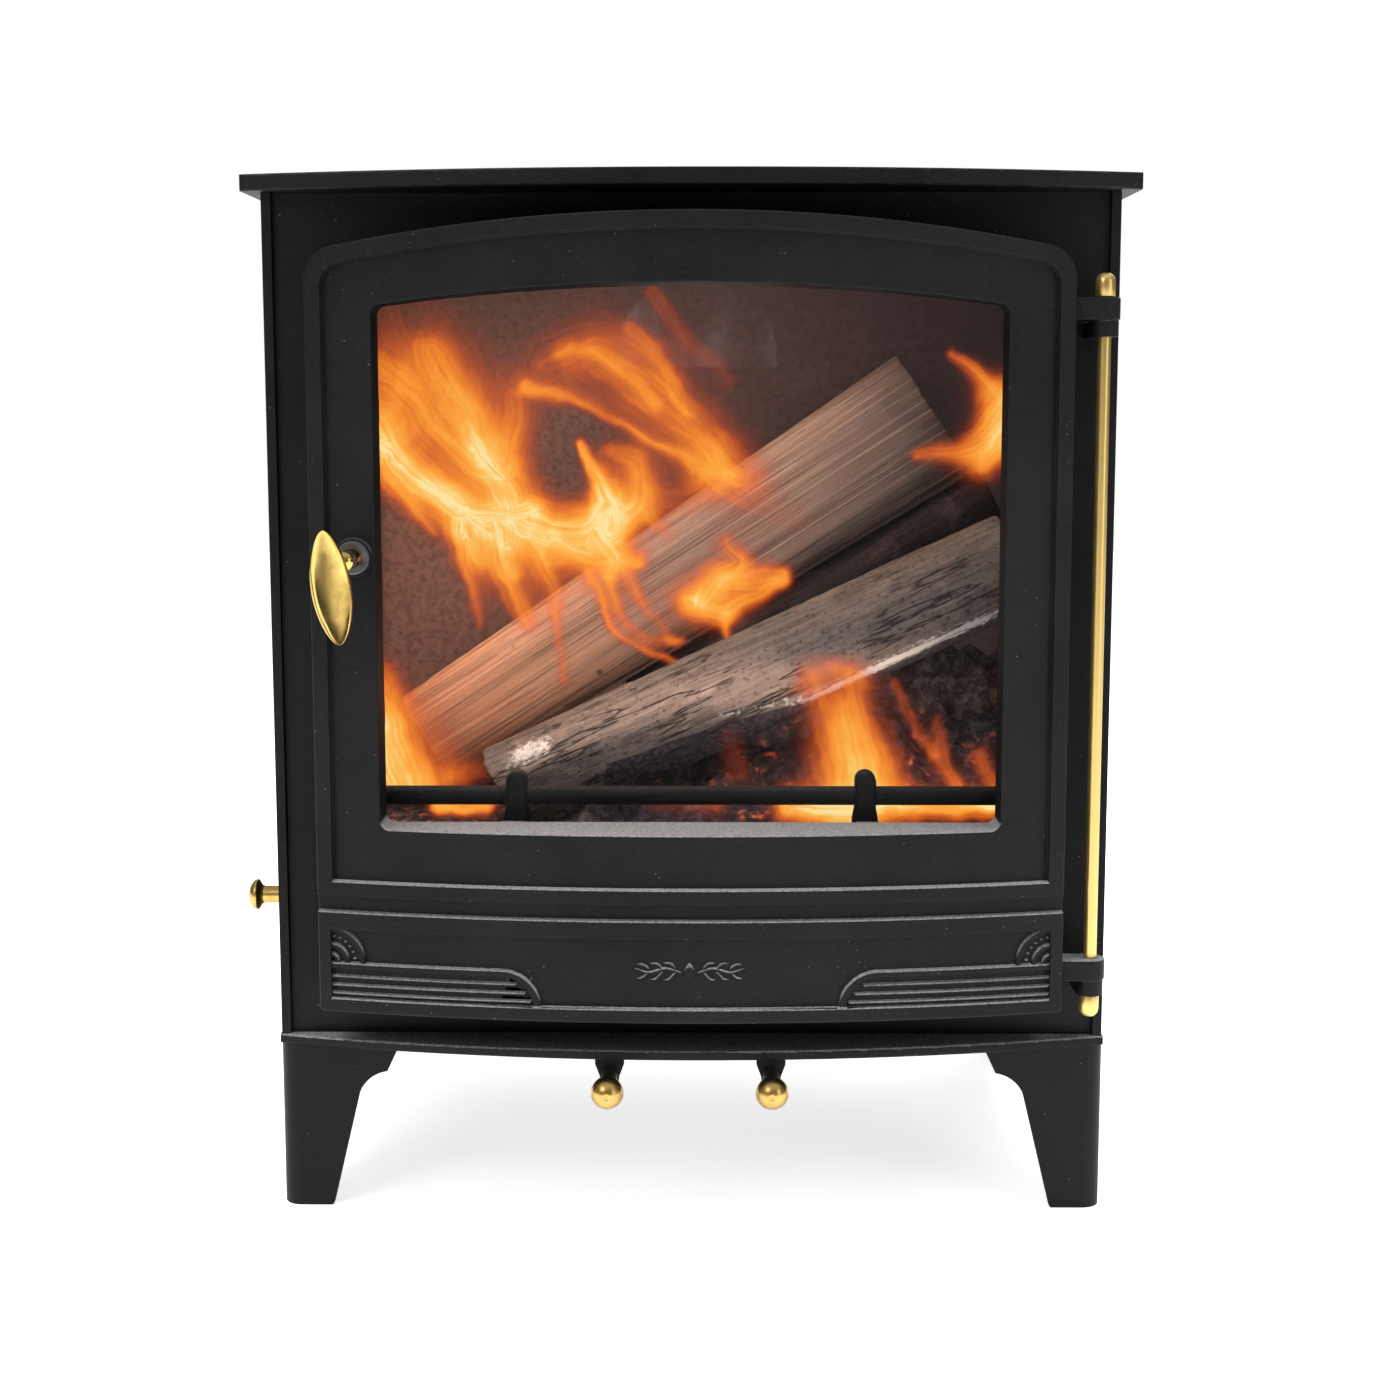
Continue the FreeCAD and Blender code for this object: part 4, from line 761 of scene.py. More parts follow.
def ring_faces(rings: int, around: int, first: int = 0) -> list[tuple[int, int, int, int]]:
    """Quads of a tube whose rings follow each other.

    Args:
        rings: Number of rings.
        around: Vertices of a ring.
        first: Number of the first ring's first vertex.

    Returns:
        The faces, wound outwards for rings that turn left about the direction of travel.
    """
    faces = []
    for ring in range(rings - 1):
        low, high = first + ring * around, first + (ring + 1) * around
        for i in range(around):
            j = (i + 1) % around
            faces.append((low + i, low + j, high + j, high + i))
    return faces


def closed_tube(rings: np.ndarray) -> tuple[np.ndarray, list[tuple[int, ...]]]:
    """Close a stack of rings with a fan at each end.

    Args:
        rings: Array of shape (rings, around, 3).

    Returns:
        Vertices and faces.
    """
    count, around = rings.shape[:2]
    points = np.vstack([rings.reshape(-1, 3), rings[0].mean(0), rings[-1].mean(0)])
    faces: list[tuple[int, ...]] = list(ring_faces(count, around))
    foot, head, last = count * around, count * around + 1, (count - 1) * around
    for i in range(around):
        j = (i + 1) % around
        faces.append((foot, j, i))
        faces.append((head, last + i, last + j))
    return points, faces


def merged(shells: Iterable[tuple[np.ndarray, list]]) -> tuple[np.ndarray, list]:
    """Put several meshes together as one.

    Args:
        shells: Vertices and faces of each.

    Returns:
        Vertices and faces of all.
    """
    points, faces, count = [], [], 0
    for vertices, shell in shells:
        faces += [tuple(i + count for i in face) for face in shell]
        points.append(vertices)
        count += len(vertices)
    return np.vstack(points), faces


def grid(across: np.ndarray, onward: np.ndarray) -> list[np.ndarray]:
    """Both coordinates of a grid's vertices, which run across and then on to the next row."""
    return [places.ravel() for places in np.meshgrid(across, onward, indexing="xy")]


def grid_faces(columns: int, rows: int) -> list[tuple[int, ...]]:
    """Quads of a grid with this many vertices across and onward."""
    corners = [j * columns + i for j in range(rows - 1) for i in range(columns - 1)]
    return [(corner, corner + 1, corner + columns + 1, corner + columns) for corner in corners]


def turned(
    profile: Sequence[Point], centre: Point3, axis: "Axis", around: int = 40
) -> tuple[np.ndarray, list]:
    """Turn a profile about an axis.

    Args:
        profile: (distance along the axis, radius) pairs in millimetres, with its two ends near the axis.
        centre: Point (x, depth, z) that distance 0 stands at.
        axis: Axis that the profile runs along.
        around: Vertices of a ring.

    Returns:
        Vertices and faces.
    """
    turns = np.linspace(0.0, 2.0 * math.pi, around, endpoint=False)
    along, first, second = axis.value
    rings = []
    for distance, radius in profile:
        circle = np.outer(np.cos(turns), first) + np.outer(np.sin(turns), second)
        rings.append(np.array(centre) + distance * np.array(along) + radius * circle)
    return closed_tube(np.array(rings))


class Axis(Enum):
    """Direction of a turned piece, with the two directions across it."""

    LEFT = ((-1.0, 0.0, 0.0), (0.0, 1.0, 0.0), (0.0, 0.0, -1.0))
    FORWARD = ((0.0, -1.0, 0.0), (1.0, 0.0, 0.0), (0.0, 0.0, 1.0))
    UP = ((0.0, 0.0, 1.0), (1.0, 0.0, 0.0), (0.0, 1.0, 0.0))
    DOWN = ((0.0, 0.0, -1.0), (1.0, 0.0, 0.0), (0.0, -1.0, 0.0))


def eased(line: Sequence[Sequence[float]], steps: int) -> np.ndarray:
    """Smooth line through a few points.

    Args:
        line: Points that it goes through.
        steps: Stretches between two neighbours.

    Returns:
        Points of the line, ends included.
    """
    known = np.asarray(line, float)
    known = np.vstack([2 * known[0] - known[1], known, 2 * known[-1] - known[-2]])
    share = np.linspace(0.0, 1.0, steps, endpoint=False)[:, None]
    runs = []
    for i in range(1, len(known) - 2):
        before, start, end, after = known[i - 1:i + 3]
        bend = 2 * before - 5 * start + 4 * end - after
        twist = 3 * start - before - 3 * end + after
        runs.append(start + 0.5 * (share * (end - before) + share**2 * bend + share**3 * twist))
    return np.vstack(runs + [known[-2][None]])


class Roughness:
    """Seeded smooth noise for shapes, from 0 to 1."""

    def __init__(self, seed: int) -> None:
        """Draw the lattice's values."""
        self.table = np.random.default_rng(seed).random(8192)

    def at(self, points: np.ndarray) -> np.ndarray:
        """One layer of noise.

        Args:
            points: Array of shape (n, 3), in lattice cells.

        Returns:
            Array of n values.
        """
        cell = np.floor(points).astype(np.int64)
        share = points - cell
        share = share * share * (3.0 - 2.0 * share)
        total = np.zeros(len(points))
        for corner in range(8):
            step = np.array([(corner >> k) & 1 for k in range(3)])
            key = (cell + step) * np.array((73856093, 19349663, 83492791))
            value = self.table[(key[:, 0] ^ key[:, 1] ^ key[:, 2]) & 8191]
            total += value * np.where(step, share, 1.0 - share).prod(1)
        return total

    def layers(self, points: np.ndarray, count: int = 4, fade: float = 0.5) -> np.ndarray:
        """Several layers, each twice as fine and weaker than the last.

        Args:
            points: Array of shape (n, 3), in cells of the coarsest layer.
            count: Number of layers.
            fade: Strength of a layer over the one before.

        Returns:
            Array of n values.
        """
        total, weight, reach = np.zeros(len(points)), 1.0, 0.0
        for layer in range(count):
            total += weight * self.at(points * 2.0**layer + 17.3 * layer)
            reach += weight
            weight *= fade
        return total / reach


def stepped(value: np.ndarray, low: float, high: float) -> np.ndarray:
    """Smooth step from 0 to 1 while the value goes from low to high."""
    share = np.clip((value - low) / (high - low), 0.0, 1.0)
    return share * share * (3.0 - 2.0 * share)


# ---------------------------------------------------------------- body of the stove
@dataclass
class BodyShell:
    """Welded plate body, legs, bolts and flue."""

    plate_edge: float = 0.5
    leg_edge: float = 0.7

    def build(self) -> None:
        """Dress the shell's plates, the legs and the flue."""
        panels = ("top_plate", "left_side_panel", "right_side_panel", "back_panel", "front_frame")
        dress(panels, PLATE_PAINT, self.plate_edge)
        # The base plate's upward front strip carries a painted highlight with some settled dust.
        dress(("base_plate",), SHEEN_AND_DUST_PAINT, self.plate_edge)
        legs = [f"{end}_{side}_leg" for end in ("front", "rear") for side in ("left", "right")]
        dress(legs, PLATE_PAINT, self.leg_edge)
        dress(("leg_bolts", "flue_collar_bolts", "blanking_bolt"), ZINC, 0.3)
        dress(("flue_collar", "flue_blanking_plate"), FLUE_PAINT, 0.6)


@dataclass
class Firebox:
    """Lining, baffle, grate, ash pan and the bar that keeps the logs back."""

    def build(self) -> None:
        """Dress everything inside the body that isn't fuel."""
        dress(("left_fire_brick", "right_fire_brick", "rear_fire_brick"), BOARD, 1.0)
        dress(("baffle_plate",), BOARD, 1.0)
        steel = ("firebox_floor", "left_brick_retainer", "right_brick_retainer", "baffle_supports")
        dress(steel + ("airwash_deflector", "grate_supports", "ash_pan", "ash_pan_handle"), INNER_STEEL, 0.3)
        dress(("blanking_clamp_bar",), INNER_STEEL, 0.5)
        dress(("grate_frame", "riddling_grate"), GRATE_IRON, 0.8)
        dress(("log_guard_bar", "log_guard_posts"), GUARD_PAINT, 0.6)


# ---------------------------------------------------------------- door
@dataclass
class Door:
    """Door casting with the relief of its lower panel, the pane and what holds it."""

    nose: float = 67.1
    edge: float = 0.85
    bow_radius: float = 958.8
    field: float = 4.0
    fan_x: float = 219.5
    fan_z: float = 170.5
    bead_reach: float = 15.1
    bead_radius: float = 1.25
    bead_stretch: float = 1.15
    beads: int = 6
    ornament_z: float = 170.5

    def face_depth(self, x: np.ndarray | float, sunk: float) -> np.ndarray | float:
        """Depth of the bowed face, or of a face sunk behind it.

        Args:
            x: Places across the door.
            sunk: Distance behind the border's face.

        Returns:
            Depths at those places.
        """
        return self.bow_radius - self.nose - np.sqrt((self.bow_radius - sunk) ** 2 - np.square(x))

    def build(self) -> None:
        """Dress the casting and add its beads and centre ornament."""
        dress(("door_frame",), CAST_PAINT)
        soften(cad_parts["door_frame"], self.edge, 3)
        dress(("door_glass",), PANE)
        dress(("glass_gasket", "door_rope_seal"), ROPE)
        dress(("glass_clips",), INNER_STEEL, 0.2)
        dress(("glass_clip_screws",), ZINC, 0.2)
        dress(("handle_boss",), DULL_STEEL)
        self.add_beads()
        self.add_ornament()

    def add_beads(self) -> None:
        """A row of beads round each fan, between its outer and middle bands."""
        radius = self.bead_radius
        tilts = np.radians(np.linspace(-20.0, 88.0, 7))
        profile = [(radius * self.bead_stretch * math.sin(t), radius * math.cos(t)) for t in tilts]
        beads = []
        for side in (-1.0, 1.0):
            for turn in np.radians(np.linspace(7.0, 83.0, self.beads)):
                x = side * (self.fan_x - self.bead_reach * math.cos(turn))
                z = self.fan_z + self.bead_reach * math.sin(turn)
                centre = (x, self.face_depth(x, self.field) + 0.1, z)
                beads.append(turned(profile, centre, Axis.FORWARD, 14))
        add_piece("fan_beads", *merged(beads), CAST_PAINT, "door")

    def leaf(self, spine: Sequence[Point], half_width: float, height: float) -> tuple[np.ndarray, list]:
        """Raised leaf that follows the bowed field.

        Args:
            spine: (x, z) points from its root to its tip.
            half_width: Largest half width.
            height: Height of its ridge above the field.

        Returns:
            Vertices and faces.
        """
        line = eased(spine, 5)
        share = np.linspace(0.0, 1.0, len(line))
        ahead = np.gradient(line, axis=0)
        across = np.stack([-ahead[:, 1], ahead[:, 0]], 1) / np.linalg.norm(ahead, axis=1)[:, None]
        width = half_width * (np.sin(math.pi * np.clip(share, 0.04, 0.985) ** 0.8) ** 0.7)
        section = (
            (-1.0, -0.4), (-0.94, 0.45), (-0.5, 0.85), (0.0, 1.0), (0.5, 0.85), (0.94, 0.45), (1.0, -0.4),
        )
        rings = []
        for offset, rise in section:
            flat = line + across * (width * offset)[:, None]
            lift = height * rise * np.minimum(1.0, width / half_width + 0.25)
            depth = self.face_depth(flat[:, 0], self.field) - lift
            rings.append(np.stack([flat[:, 0], depth, flat[:, 1]], 1))
        return closed_tube(np.array(rings).transpose(1, 0, 2))

    def add_ornament(self) -> None:
        """A lozenge between two leaf sprays at the middle of the lower panel."""
        z = self.ornament_z
        leaves = [(((0.0, z - 5.6), (0.0, z), (0.0, z + 5.6)), 3.4, 1.5)]
        for side in (-1.0, 1.0):
            stem = [(side * x, z + rise) for x, rise in ((5.0, -0.6), (14.0, 1.8), (24.0, -0.6), (33.0, 2.2))]
            leaves.append((stem, 1.5, 1.3))
            for start, lift in ((8.0, 4.6), (16.0, 4.4), (24.0, 3.8)):
                tip = side * (start + 7.6)
                upper = [(side * start, z + 0.6), (side * (start + 3.4), z + lift), (tip, z + lift + 0.8)]
                lower = [(side * start, z + 0.2), (side * (start + 3.6), z - lift), (tip, z - lift - 0.4)]
                leaves += [(upper, 1.35, 1.2), (lower, 1.35, 1.2)]
        add_piece("panel_ornament", *merged(self.leaf(*leaf) for leaf in leaves), CAST_PAINT, "door")


@dataclass
class Latch:
    """Lever handle with a dished almond blade, its spindle, cam and nut."""

    length: float = 67.0
    width: float = 23.6
    thickness: float = 8.0
    lean: float = 7.5
    centre: tuple[float, float] = (-206.6, 403.0)
    front: float = -85.5
    neck: tuple[float, float] = (-200.0, 418.0)
    neck_radius: float = 6.0
    neck_end: float = -49.0
    rim: float = 2.2

    def build(self) -> None:
        """Dress the hidden pieces and shape the lever."""
        dress(("handle_spindle", "latch_cam"), BRIGHT_STEEL, 0.3)
        dress(("latch_nut",), ZINC, 0.3)
        lever = add_piece("lever_handle", *merged((self.blade(), self.neck_mesh())), BRASS, "latch")
        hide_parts("door_handle")

    def blade(self) -> tuple[np.ndarray, list]:
        """Almond blade: thin rounded rim, dished face, domed back.

        Returns:
            Vertices and faces.
        """
        share = 0.5 - 0.5 * np.cos(np.linspace(0.012, 0.988, 60) * math.pi)
        right = [(1.0, 2.1), (0.99, 1.2), (0.965, 0.5), (0.92, 0.05), (0.88, 0.1)]
        right += [(0.83, 0.55), (0.72, 1.35), (0.55, 2.1), (0.35, 2.6), (0.15, 2.85)]
        back = [(0.995, 3.2), (0.95, 4.5), (0.82, 5.8), (0.6, 7.0), (0.3, 7.8)]
        section = right + [(0.0, 2.9)] + [(-u, w) for u, w in reversed(right)]
        section += [(-u, w) for u, w in back] + [(0.0, self.thickness)] + list(reversed(back))
        across, inward = np.array(section).T
        lean = math.radians(self.lean)
        rings = []
        for place in share:
            reach = self.width / 2 * math.sin(math.pi * place) ** 0.55
            full = min(1.0, 0.1 + 1.25 * reach / (self.width / 2))
            rise = (place - 0.5) * self.length
            x = self.centre[0] + across * reach * math.cos(lean) - rise * math.sin(lean)
            z = self.centre[1] + across * reach * math.sin(lean) + rise * math.cos(lean)
            rings.append(np.stack([x, self.front + self.rim + (inward - self.rim) * full, z], 1))
        return closed_tube(np.array(rings)[::-1])

    def neck_mesh(self) -> tuple[np.ndarray, list]:
        """Waisted neck from the blade's back to the washer.

        Returns:
            Vertices and faces.
        """
        reach = self.neck_end - (self.front + self.thickness * 0.5)
        radius = self.neck_radius
        waist = radius - 1.3
        profile = [(0.0, 0.4), (0.0, radius - 0.9), (0.5, radius - 0.2), (1.2, radius), (4.5, radius)]
        profile += [(6.0, radius - 0.5), (8.0, waist), (reach * 0.6, waist), (reach * 0.82, radius - 0.6)]
        profile += [(reach, radius - 0.1), (reach, 0.4)]
        return turned(profile, (self.neck[0], self.neck_end, self.neck[1]), Axis.FORWARD, 36)


@dataclass
class Hinge:
    """Full-height rod with domed caps, held in ears on door and body."""

    x: float = 246.0
    depth: float = -25.0
    cap_radius: float = 6.0
    straight: float = 8.4

    def build(self) -> None:
        """Dress rod and ears, and turn the two caps."""
        dress(("hinge_rod",), ROD_BRASS)
        # The brackets' upward faces carry a painted highlight with some settled dust.
        dress(("upper_hinge_bracket", "lower_hinge_bracket"), SHEEN_AND_DUST_PAINT, 0.5)
        for name, axis in (("upper_hinge_cap", Axis.UP), ("lower_hinge_cap", Axis.DOWN)):
            low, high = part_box(name)
            base = low.z / MM if axis is Axis.UP else high.z / MM
            points, faces = turned(self.profile(), (self.x, self.depth, base), axis, 40)
            cap = add_piece(f"{name}_acorn", points, faces, ROD_BRASS, "root")
            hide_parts(name)

    def profile(self) -> list[Point]:
        """Straight collar with eased ends, then a blunt dome."""
        r = self.cap_radius
        shape = [(0.0, 0.3), (0.0, r - 0.6), (0.2, r - 0.15), (0.6, r), (self.straight - 0.6, r)]
        for turn in np.radians(np.linspace(4.0, 88.5, 11)):
            shape.append((self.straight + (r - 0.1) * math.sin(turn), (r - 0.05) * math.cos(turn) ** 0.8))
        return shape


@dataclass
class AirControls:
    """Two air slides under the base plate, each with a ball knob."""

    ball_radius: float = 10.0
    ball_depth: float = -60.0
    ball_z: float = 94.5
    knob_x: float = 50.0

    def build(self) -> None:
        """Dress slides and guides, and turn the knobs."""
        dress(("primary_air_slider", "secondary_air_slider"), PLATE_PAINT, 0.4)
        dress(("primary_air_guide", "secondary_air_guide"), INNER_STEEL, 0.3)
        for side, name in ((-1.0, "primary_air"), (1.0, "secondary_air")):
            centre = (side * self.knob_x, self.ball_depth, self.ball_z)
            points, faces = turned(self.profile(), centre, Axis.FORWARD, 48)
            knob = add_piece(f"{name}_ball", points, faces, KNOB_BRASS, name)
            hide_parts(f"{name}_knob")

    def profile(self) -> list[Point]:
        """Ball with a shallow collar at its back and a turned centre mark in front."""
        r = self.ball_radius
        shape = [(-r + 0.5, 0.4), (-r + 0.5, r * 0.52), (-r + 1.0, r * 0.57), (-r + 1.7, r * 0.565)]
        for turn in np.radians(np.linspace(-54.0, 78.0, 24)):
            shape.append((r * math.sin(turn), r * math.cos(turn)))
        shape += [(r * 0.981, r * 0.175), (r * 0.965, r * 0.15), (r * 0.975, r * 0.1), (r * 0.985, 0.2)]
        return shape


@dataclass
class Riddler:
    """Riddling rod with its knob; the grate that it moves is dressed with the firebox."""

    end_x: float = -287.4
    depth: float = 45.0
    z: float = 192.8
    knob_radius: float = 10.0
    rod_radius: float = 5.6

    def build(self) -> None:
        """Dress the rod and turn the knob."""
        dress(("riddling_rod",), KNOB_BRASS)
        centre = (self.end_x, self.depth, self.z)
        points, faces = turned([(-d, r) for d, r in reversed(self.profile())], centre, Axis.LEFT, 48)
        knob = add_piece("riddling_button", points, faces, KNOB_BRASS, "riddler")
        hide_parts("riddling_knob")

    def profile(self) -> list[Point]:
        """(distance in from the face, radius): domed face, rounded rim, back that runs into the rod."""
        r = self.knob_radius
        shape = [(0.0, 0.2), (0.2, 2.5), (1.0, 5.0), (2.2, 7.2), (3.5, r - 1.1), (4.6, r - 0.35), (5.6, r)]
        shape += [(6.4, r - 0.1), (7.1, r - 0.7), (7.9, r - 2.2), (8.7, self.rod_radius + 1.0)]
        shape += [(9.5, self.rod_radius + 0.6), (10.0, self.rod_radius + 0.5), (10.0, 0.4)]
        return shape


# ---------------------------------------------------------------- fuel
Section = Callable[[np.ndarray, np.ndarray], tuple[np.ndarray, np.ndarray]]


@dataclass(frozen=True)
class Log:
    """One log of the fire: a bar between two ends in a plane of constant depth."""

    node: str
    start: Point
    end: Point
    depth: float
    seed: int
    stations: int = 150
    around: int = 72

    def frame_of(self) -> tuple[np.ndarray, np.ndarray, float]:
        """Direction along the log and upwards across it, and its length.

        Returns:
            Unit vector along, unit vector across, length in millimetres.
        """
        run = np.array((self.end[0] - self.start[0], 0.0, self.end[1] - self.start[1]))
        length = float(np.linalg.norm(run))
        ahead = run / length
        return ahead, np.array((-ahead[2], 0.0, ahead[0])), length

    def sweep(self, section: "Section", slack: float) -> tuple[np.ndarray, list, np.ndarray]:
        """Sweep a section that changes along the log.

        Args:
            section: Gives (depth, up) offsets from distances along and turns around, both arrays.
            slack: Unevenness of the two end faces in millimetres.

        Returns:
            Vertices, faces, and each vertex's place along, behind and up the log in metres.
        """
        ahead, upward, length = self.frame_of()
        rough = Roughness(self.seed)
        turns = np.linspace(0.0, 2.0 * math.pi, self.around, endpoint=False)
        share = 0.5 - 0.5 * np.cos(np.linspace(0.0, math.pi, self.stations))
        share = 0.25 * share + 0.75 * np.linspace(0.0, 1.0, self.stations)
        along, around = np.meshgrid(share * length, turns, indexing="ij")
        back, up = section(along.ravel(), around.ravel())
        circle = np.stack([np.cos(around), np.sin(around), np.zeros_like(around)], -1).reshape(-1, 3)
        teeth = rough.layers(circle * 2.6, 4, 0.7)
        end_pull = (teeth - 0.25) * slack * np.where(along.ravel() < length / 2, 1.0, -1.0)
        near_end = np.exp(-np.minimum(along, length - along).ravel() / 9.0)
        travel = along.ravel() + end_pull * near_end
        origin = np.array((self.start[0], self.depth, self.start[1]))
        points = origin + travel[:, None] * ahead + up[:, None] * upward
        points = points + back[:, None] * np.array((0.0, 1.0, 0.0))
        grain = np.stack([travel, back, up], 1)
        rings = points.reshape(self.stations, self.around, 3)
        points, faces = closed_tube(rings)
        grain = np.vstack([grain, grain[:self.around].mean(0), grain[-self.around:].mean(0)])
        return points, faces, grain * MM

    def squared(self, half_back: float, half_up: float, far_up: float) -> "Section":
        """Section of a split log: four riven faces with splinter lines.

        Args:
            half_back: Half its size in depth.
            half_up: Half its size upwards at its start.
            far_up: Half its size upwards at its end.

        Returns:
            Section function for sweep.
        """
        rough = Roughness(self.seed + 1)
        length = self.frame_of()[2]

        def section(along: np.ndarray, turn: np.ndarray) -> tuple[np.ndarray, np.ndarray]:
            """Offsets of the riven outline."""
            back, up = np.cos(turn), np.sin(turn)
            square = np.maximum(np.abs(back), np.abs(up))
            square = (square**7 + 0.2) / (square**6 + 0.2)
            back, up = back / square, up / square
            rivings = rough.layers(np.stack([along / 140.0, 4.6 * back, 4.6 * up], 1), 4, 0.62)
            steps = rough.at(np.stack([along / 210.0, 11.0 * back + 40.0, 13.0 * up], 1))
            shrink = 1.0 - 0.05 * rivings - 0.02 * (steps > 0.55)
            return half_back * back * shrink, (half_up + (far_up - half_up) * along / length) * up * shrink

        return section

    def rounded(self, half_back: float, half_up: float, depth: float) -> "Section":
        """Section of a burnt round: lumpy, with checks along it.

        Args:
            half_back: Half its size in depth.
            half_up: Half its size upwards.
            depth: Depth of its checks and lumps in millimetres.

        Returns:
            Section function for sweep.
        """
        rough = Roughness(self.seed + 2)

        def section(along: np.ndarray, turn: np.ndarray) -> tuple[np.ndarray, np.ndarray]:
            """Offsets of the burnt outline."""
            back, up = np.cos(turn), np.sin(turn)
            ring = np.stack([along / 60.0, 2.2 * back, 2.2 * up], 1)
            lumps = rough.layers(ring, 3, 0.55)
            fissure = rough.layers(np.stack([along / 90.0, 5.0 * back + 9.0, 5.0 * up], 1), 3, 0.6)
            fissure = np.abs(fissure - 0.5)
            crumbs = rough.layers(np.stack([along / 7.0, 9.0 * back, 9.0 * up], 1), 3, 0.7)
            sink = depth * (0.9 * (1.0 - lumps) + 0.9 * np.exp(-fissure / 0.025) + 0.5 * crumbs)
            ridge = 1.0 - 0.1 * stepped(np.cos(turn - math.radians(205.0)), 0.72, 1.0)
            return (half_back - sink) * back * ridge, (half_up - sink) * up * ridge

        return section


@dataclass
class WoodPile:
    """The three logs and the bed of embers that they lie in."""

    split: Log = Log("log_split", (-182.0, 280.0), (162.0, 503.0), 143.0, 11)
    charred: Log = Log("log_charred", (-124.0, 253.0), (211.0, 408.0), 76.0, 23)
    dark: Log = Log("log_dark", (-36.0, 301.3), (203.0, 446.0), 143.0, 37, 110, 60)
    bed_x: float = 224.0
    bed_depth: tuple[float, float] = (31.0, 316.0)
    bed_floor: float = 213.4

    def build(self) -> None:
        """Make the logs and the bed."""
        points, faces, grain = self.split.sweep(self.split.squared(24.0, 34.5, 46.5), 5.0)
        self.finish_log("split_log", self.split, points, faces, grain, TIMBER)
        points, faces, grain = self.charred.sweep(self.charred.rounded(34.5, 34.0, 1.8), 8.0)
        front = self.finish_log("charred_front_log", self.charred, points, faces, grain, CHAR)
        along, up = grain[:, 0] / MM, grain[:, 2] / MM
        edge = np.interp(along, (48.0, 74.0, 156.0, 205.0, 380.0), (-40.0, -6.0, -14.0, -25.0, -25.0))
        patch = np.exp(-((along - 30.0) / 24.0) ** 2 - ((up - 22.0) / 9.0) ** 2)
        fringe = np.exp(-((up - edge - 5.0) / 4.0) ** 2) * stepped(along, 60.0, 150.0)
        rim = np.exp(-((up - edge - 1.0) / 2.2) ** 2) * stepped(along, 185.0, 225.0)
        foot = 0.6 * stepped(-up, 16.0, 26.0) * stepped(-along, -60.0, -40.0)
        carry(front, "ash", np.clip(0.72 * patch + 0.42 * fringe + 0.9 * rim + foot, 0.0, 1.0))
        # Painted shade with some char: the soot attribute darkens the log below the edge line.
        carry(front, "soot", stepped(edge - up, -4.0, 4.0))
        # Near-black log under the split log: painted shade with some char.
        points, faces, grain = self.dark.sweep(self.dark.rounded(22.5, 22.5, 1.6), 5.0)
        under = self.finish_log("shaded_burnt_under_log", self.dark, points, faces, grain, CHAR_IN_SHADE)
        carry(under, "ash", np.zeros(len(grain)))
        carry(under, "soot", np.full(len(grain), 0.45))
        self.add_bed()

    def finish_log(
        self, name: str, source: Log, points: np.ndarray, faces: list, grain: np.ndarray, finish: Finish,
    ) -> bpy.types.Object:
        """Turn a swept log into a piece that stands for its node.

        Args:
            name: Name of the piece.
            source: The log that was swept.
            points: Vertices.
            faces: Faces.
            grain: Places along, behind and up the log.
            finish: Surface finish.

        Returns:
            The piece.
        """
        piece = add_piece(name, points, faces, finish, "root")
        carry(piece, "grain", grain)
        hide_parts(source.node)
        return piece

    def bed_height(self, x: np.ndarray, depth: np.ndarray, rough: Roughness) -> np.ndarray:
        """Height of the bed over the grate.

        Args:
            x: Places across.
            depth: Places behind the side panels' front edges.
            rough: Source of lumps.

        Returns:
            Heights in millimetres.
        """
        place = np.stack([x / 26.0, depth / 26.0, np.zeros_like(x)], 1)
        lumps = np.abs(rough.layers(place, 2, 0.6) - 0.5) * 2.0
        small = rough.layers(place * 3.1, 3, 0.6)
        # Painted shade: the tall dark heap at the rear right fills where the rear brick lies in the logs'
        # shadow.
        heap = 84.0 * stepped(depth, 90.0, 215.0) * stepped(x, -120.0, 90.0)
        middle = stepped(x, -150.0, -60.0)
        heap += 26.0 * stepped(depth, 40.0, 110.0) * middle + 12.0 * stepped(x, 40.0, 120.0)
        front = self.bed_depth[0]
        edge = stepped(self.bed_x - np.abs(x), -6.0, 6.0) * stepped(depth, front, front + 12.0)
        small = 12.0 * small + 22.0 * (1.0 - lumps)
        return 2.0 + edge * (6.0 + heap + small * (0.5 + 0.5 * middle))

    def add_bed(self) -> None:
        """Lumpy closed heap of charcoal and ash on the grate."""
        columns, rows = 170, 108
        x, depth = grid(np.linspace(-self.bed_x, self.bed_x, columns), np.linspace(*self.bed_depth, rows))
        rough = Roughness(53)
        height = self.bed_height(x, depth, rough)
        top = np.stack([x, depth, self.bed_floor + height], 1)
        base = np.stack([x, depth, np.full_like(x, self.bed_floor)], 1)
        last = columns * rows - 1
        rim = [*range(columns), *range(2 * columns - 1, last + 1, columns)]
        rim += [*range(last - 1, last - columns, -1), *range(last + 1 - 2 * columns, 0, -columns)]
        points = np.vstack([top, base[rim]])
        first = len(top)
        faces = grid_faces(columns, rows)
        for k, vertex in enumerate(rim):
            after = (k + 1) % len(rim)
            faces.append((first + k, first + after, rim[after], vertex))
        faces.append(tuple(first + k for k in reversed(range(len(rim)))))
        bed = add_piece("ember_bed", points, faces, EMBERS, "root")
        dusting = 0.25 + 0.4 * rough.layers(np.stack([x / 60.0, depth / 60.0, np.zeros_like(x)], 1))
        ash = np.concatenate([dusting, np.zeros(len(rim))])
        warm = np.exp(-((x - 105.0) / 70.0) ** 2) * stepped(-depth, -170.0, -40.0)
        warm += 0.8 * np.exp(-((x + 170.0) / 50.0) ** 2) * stepped(-depth, -200.0, -60.0)
        carry(bed, "ash", ash)
        carry(bed, "glow", np.concatenate([np.clip(warm, 0.0, 1.0), np.zeros(len(rim))]))


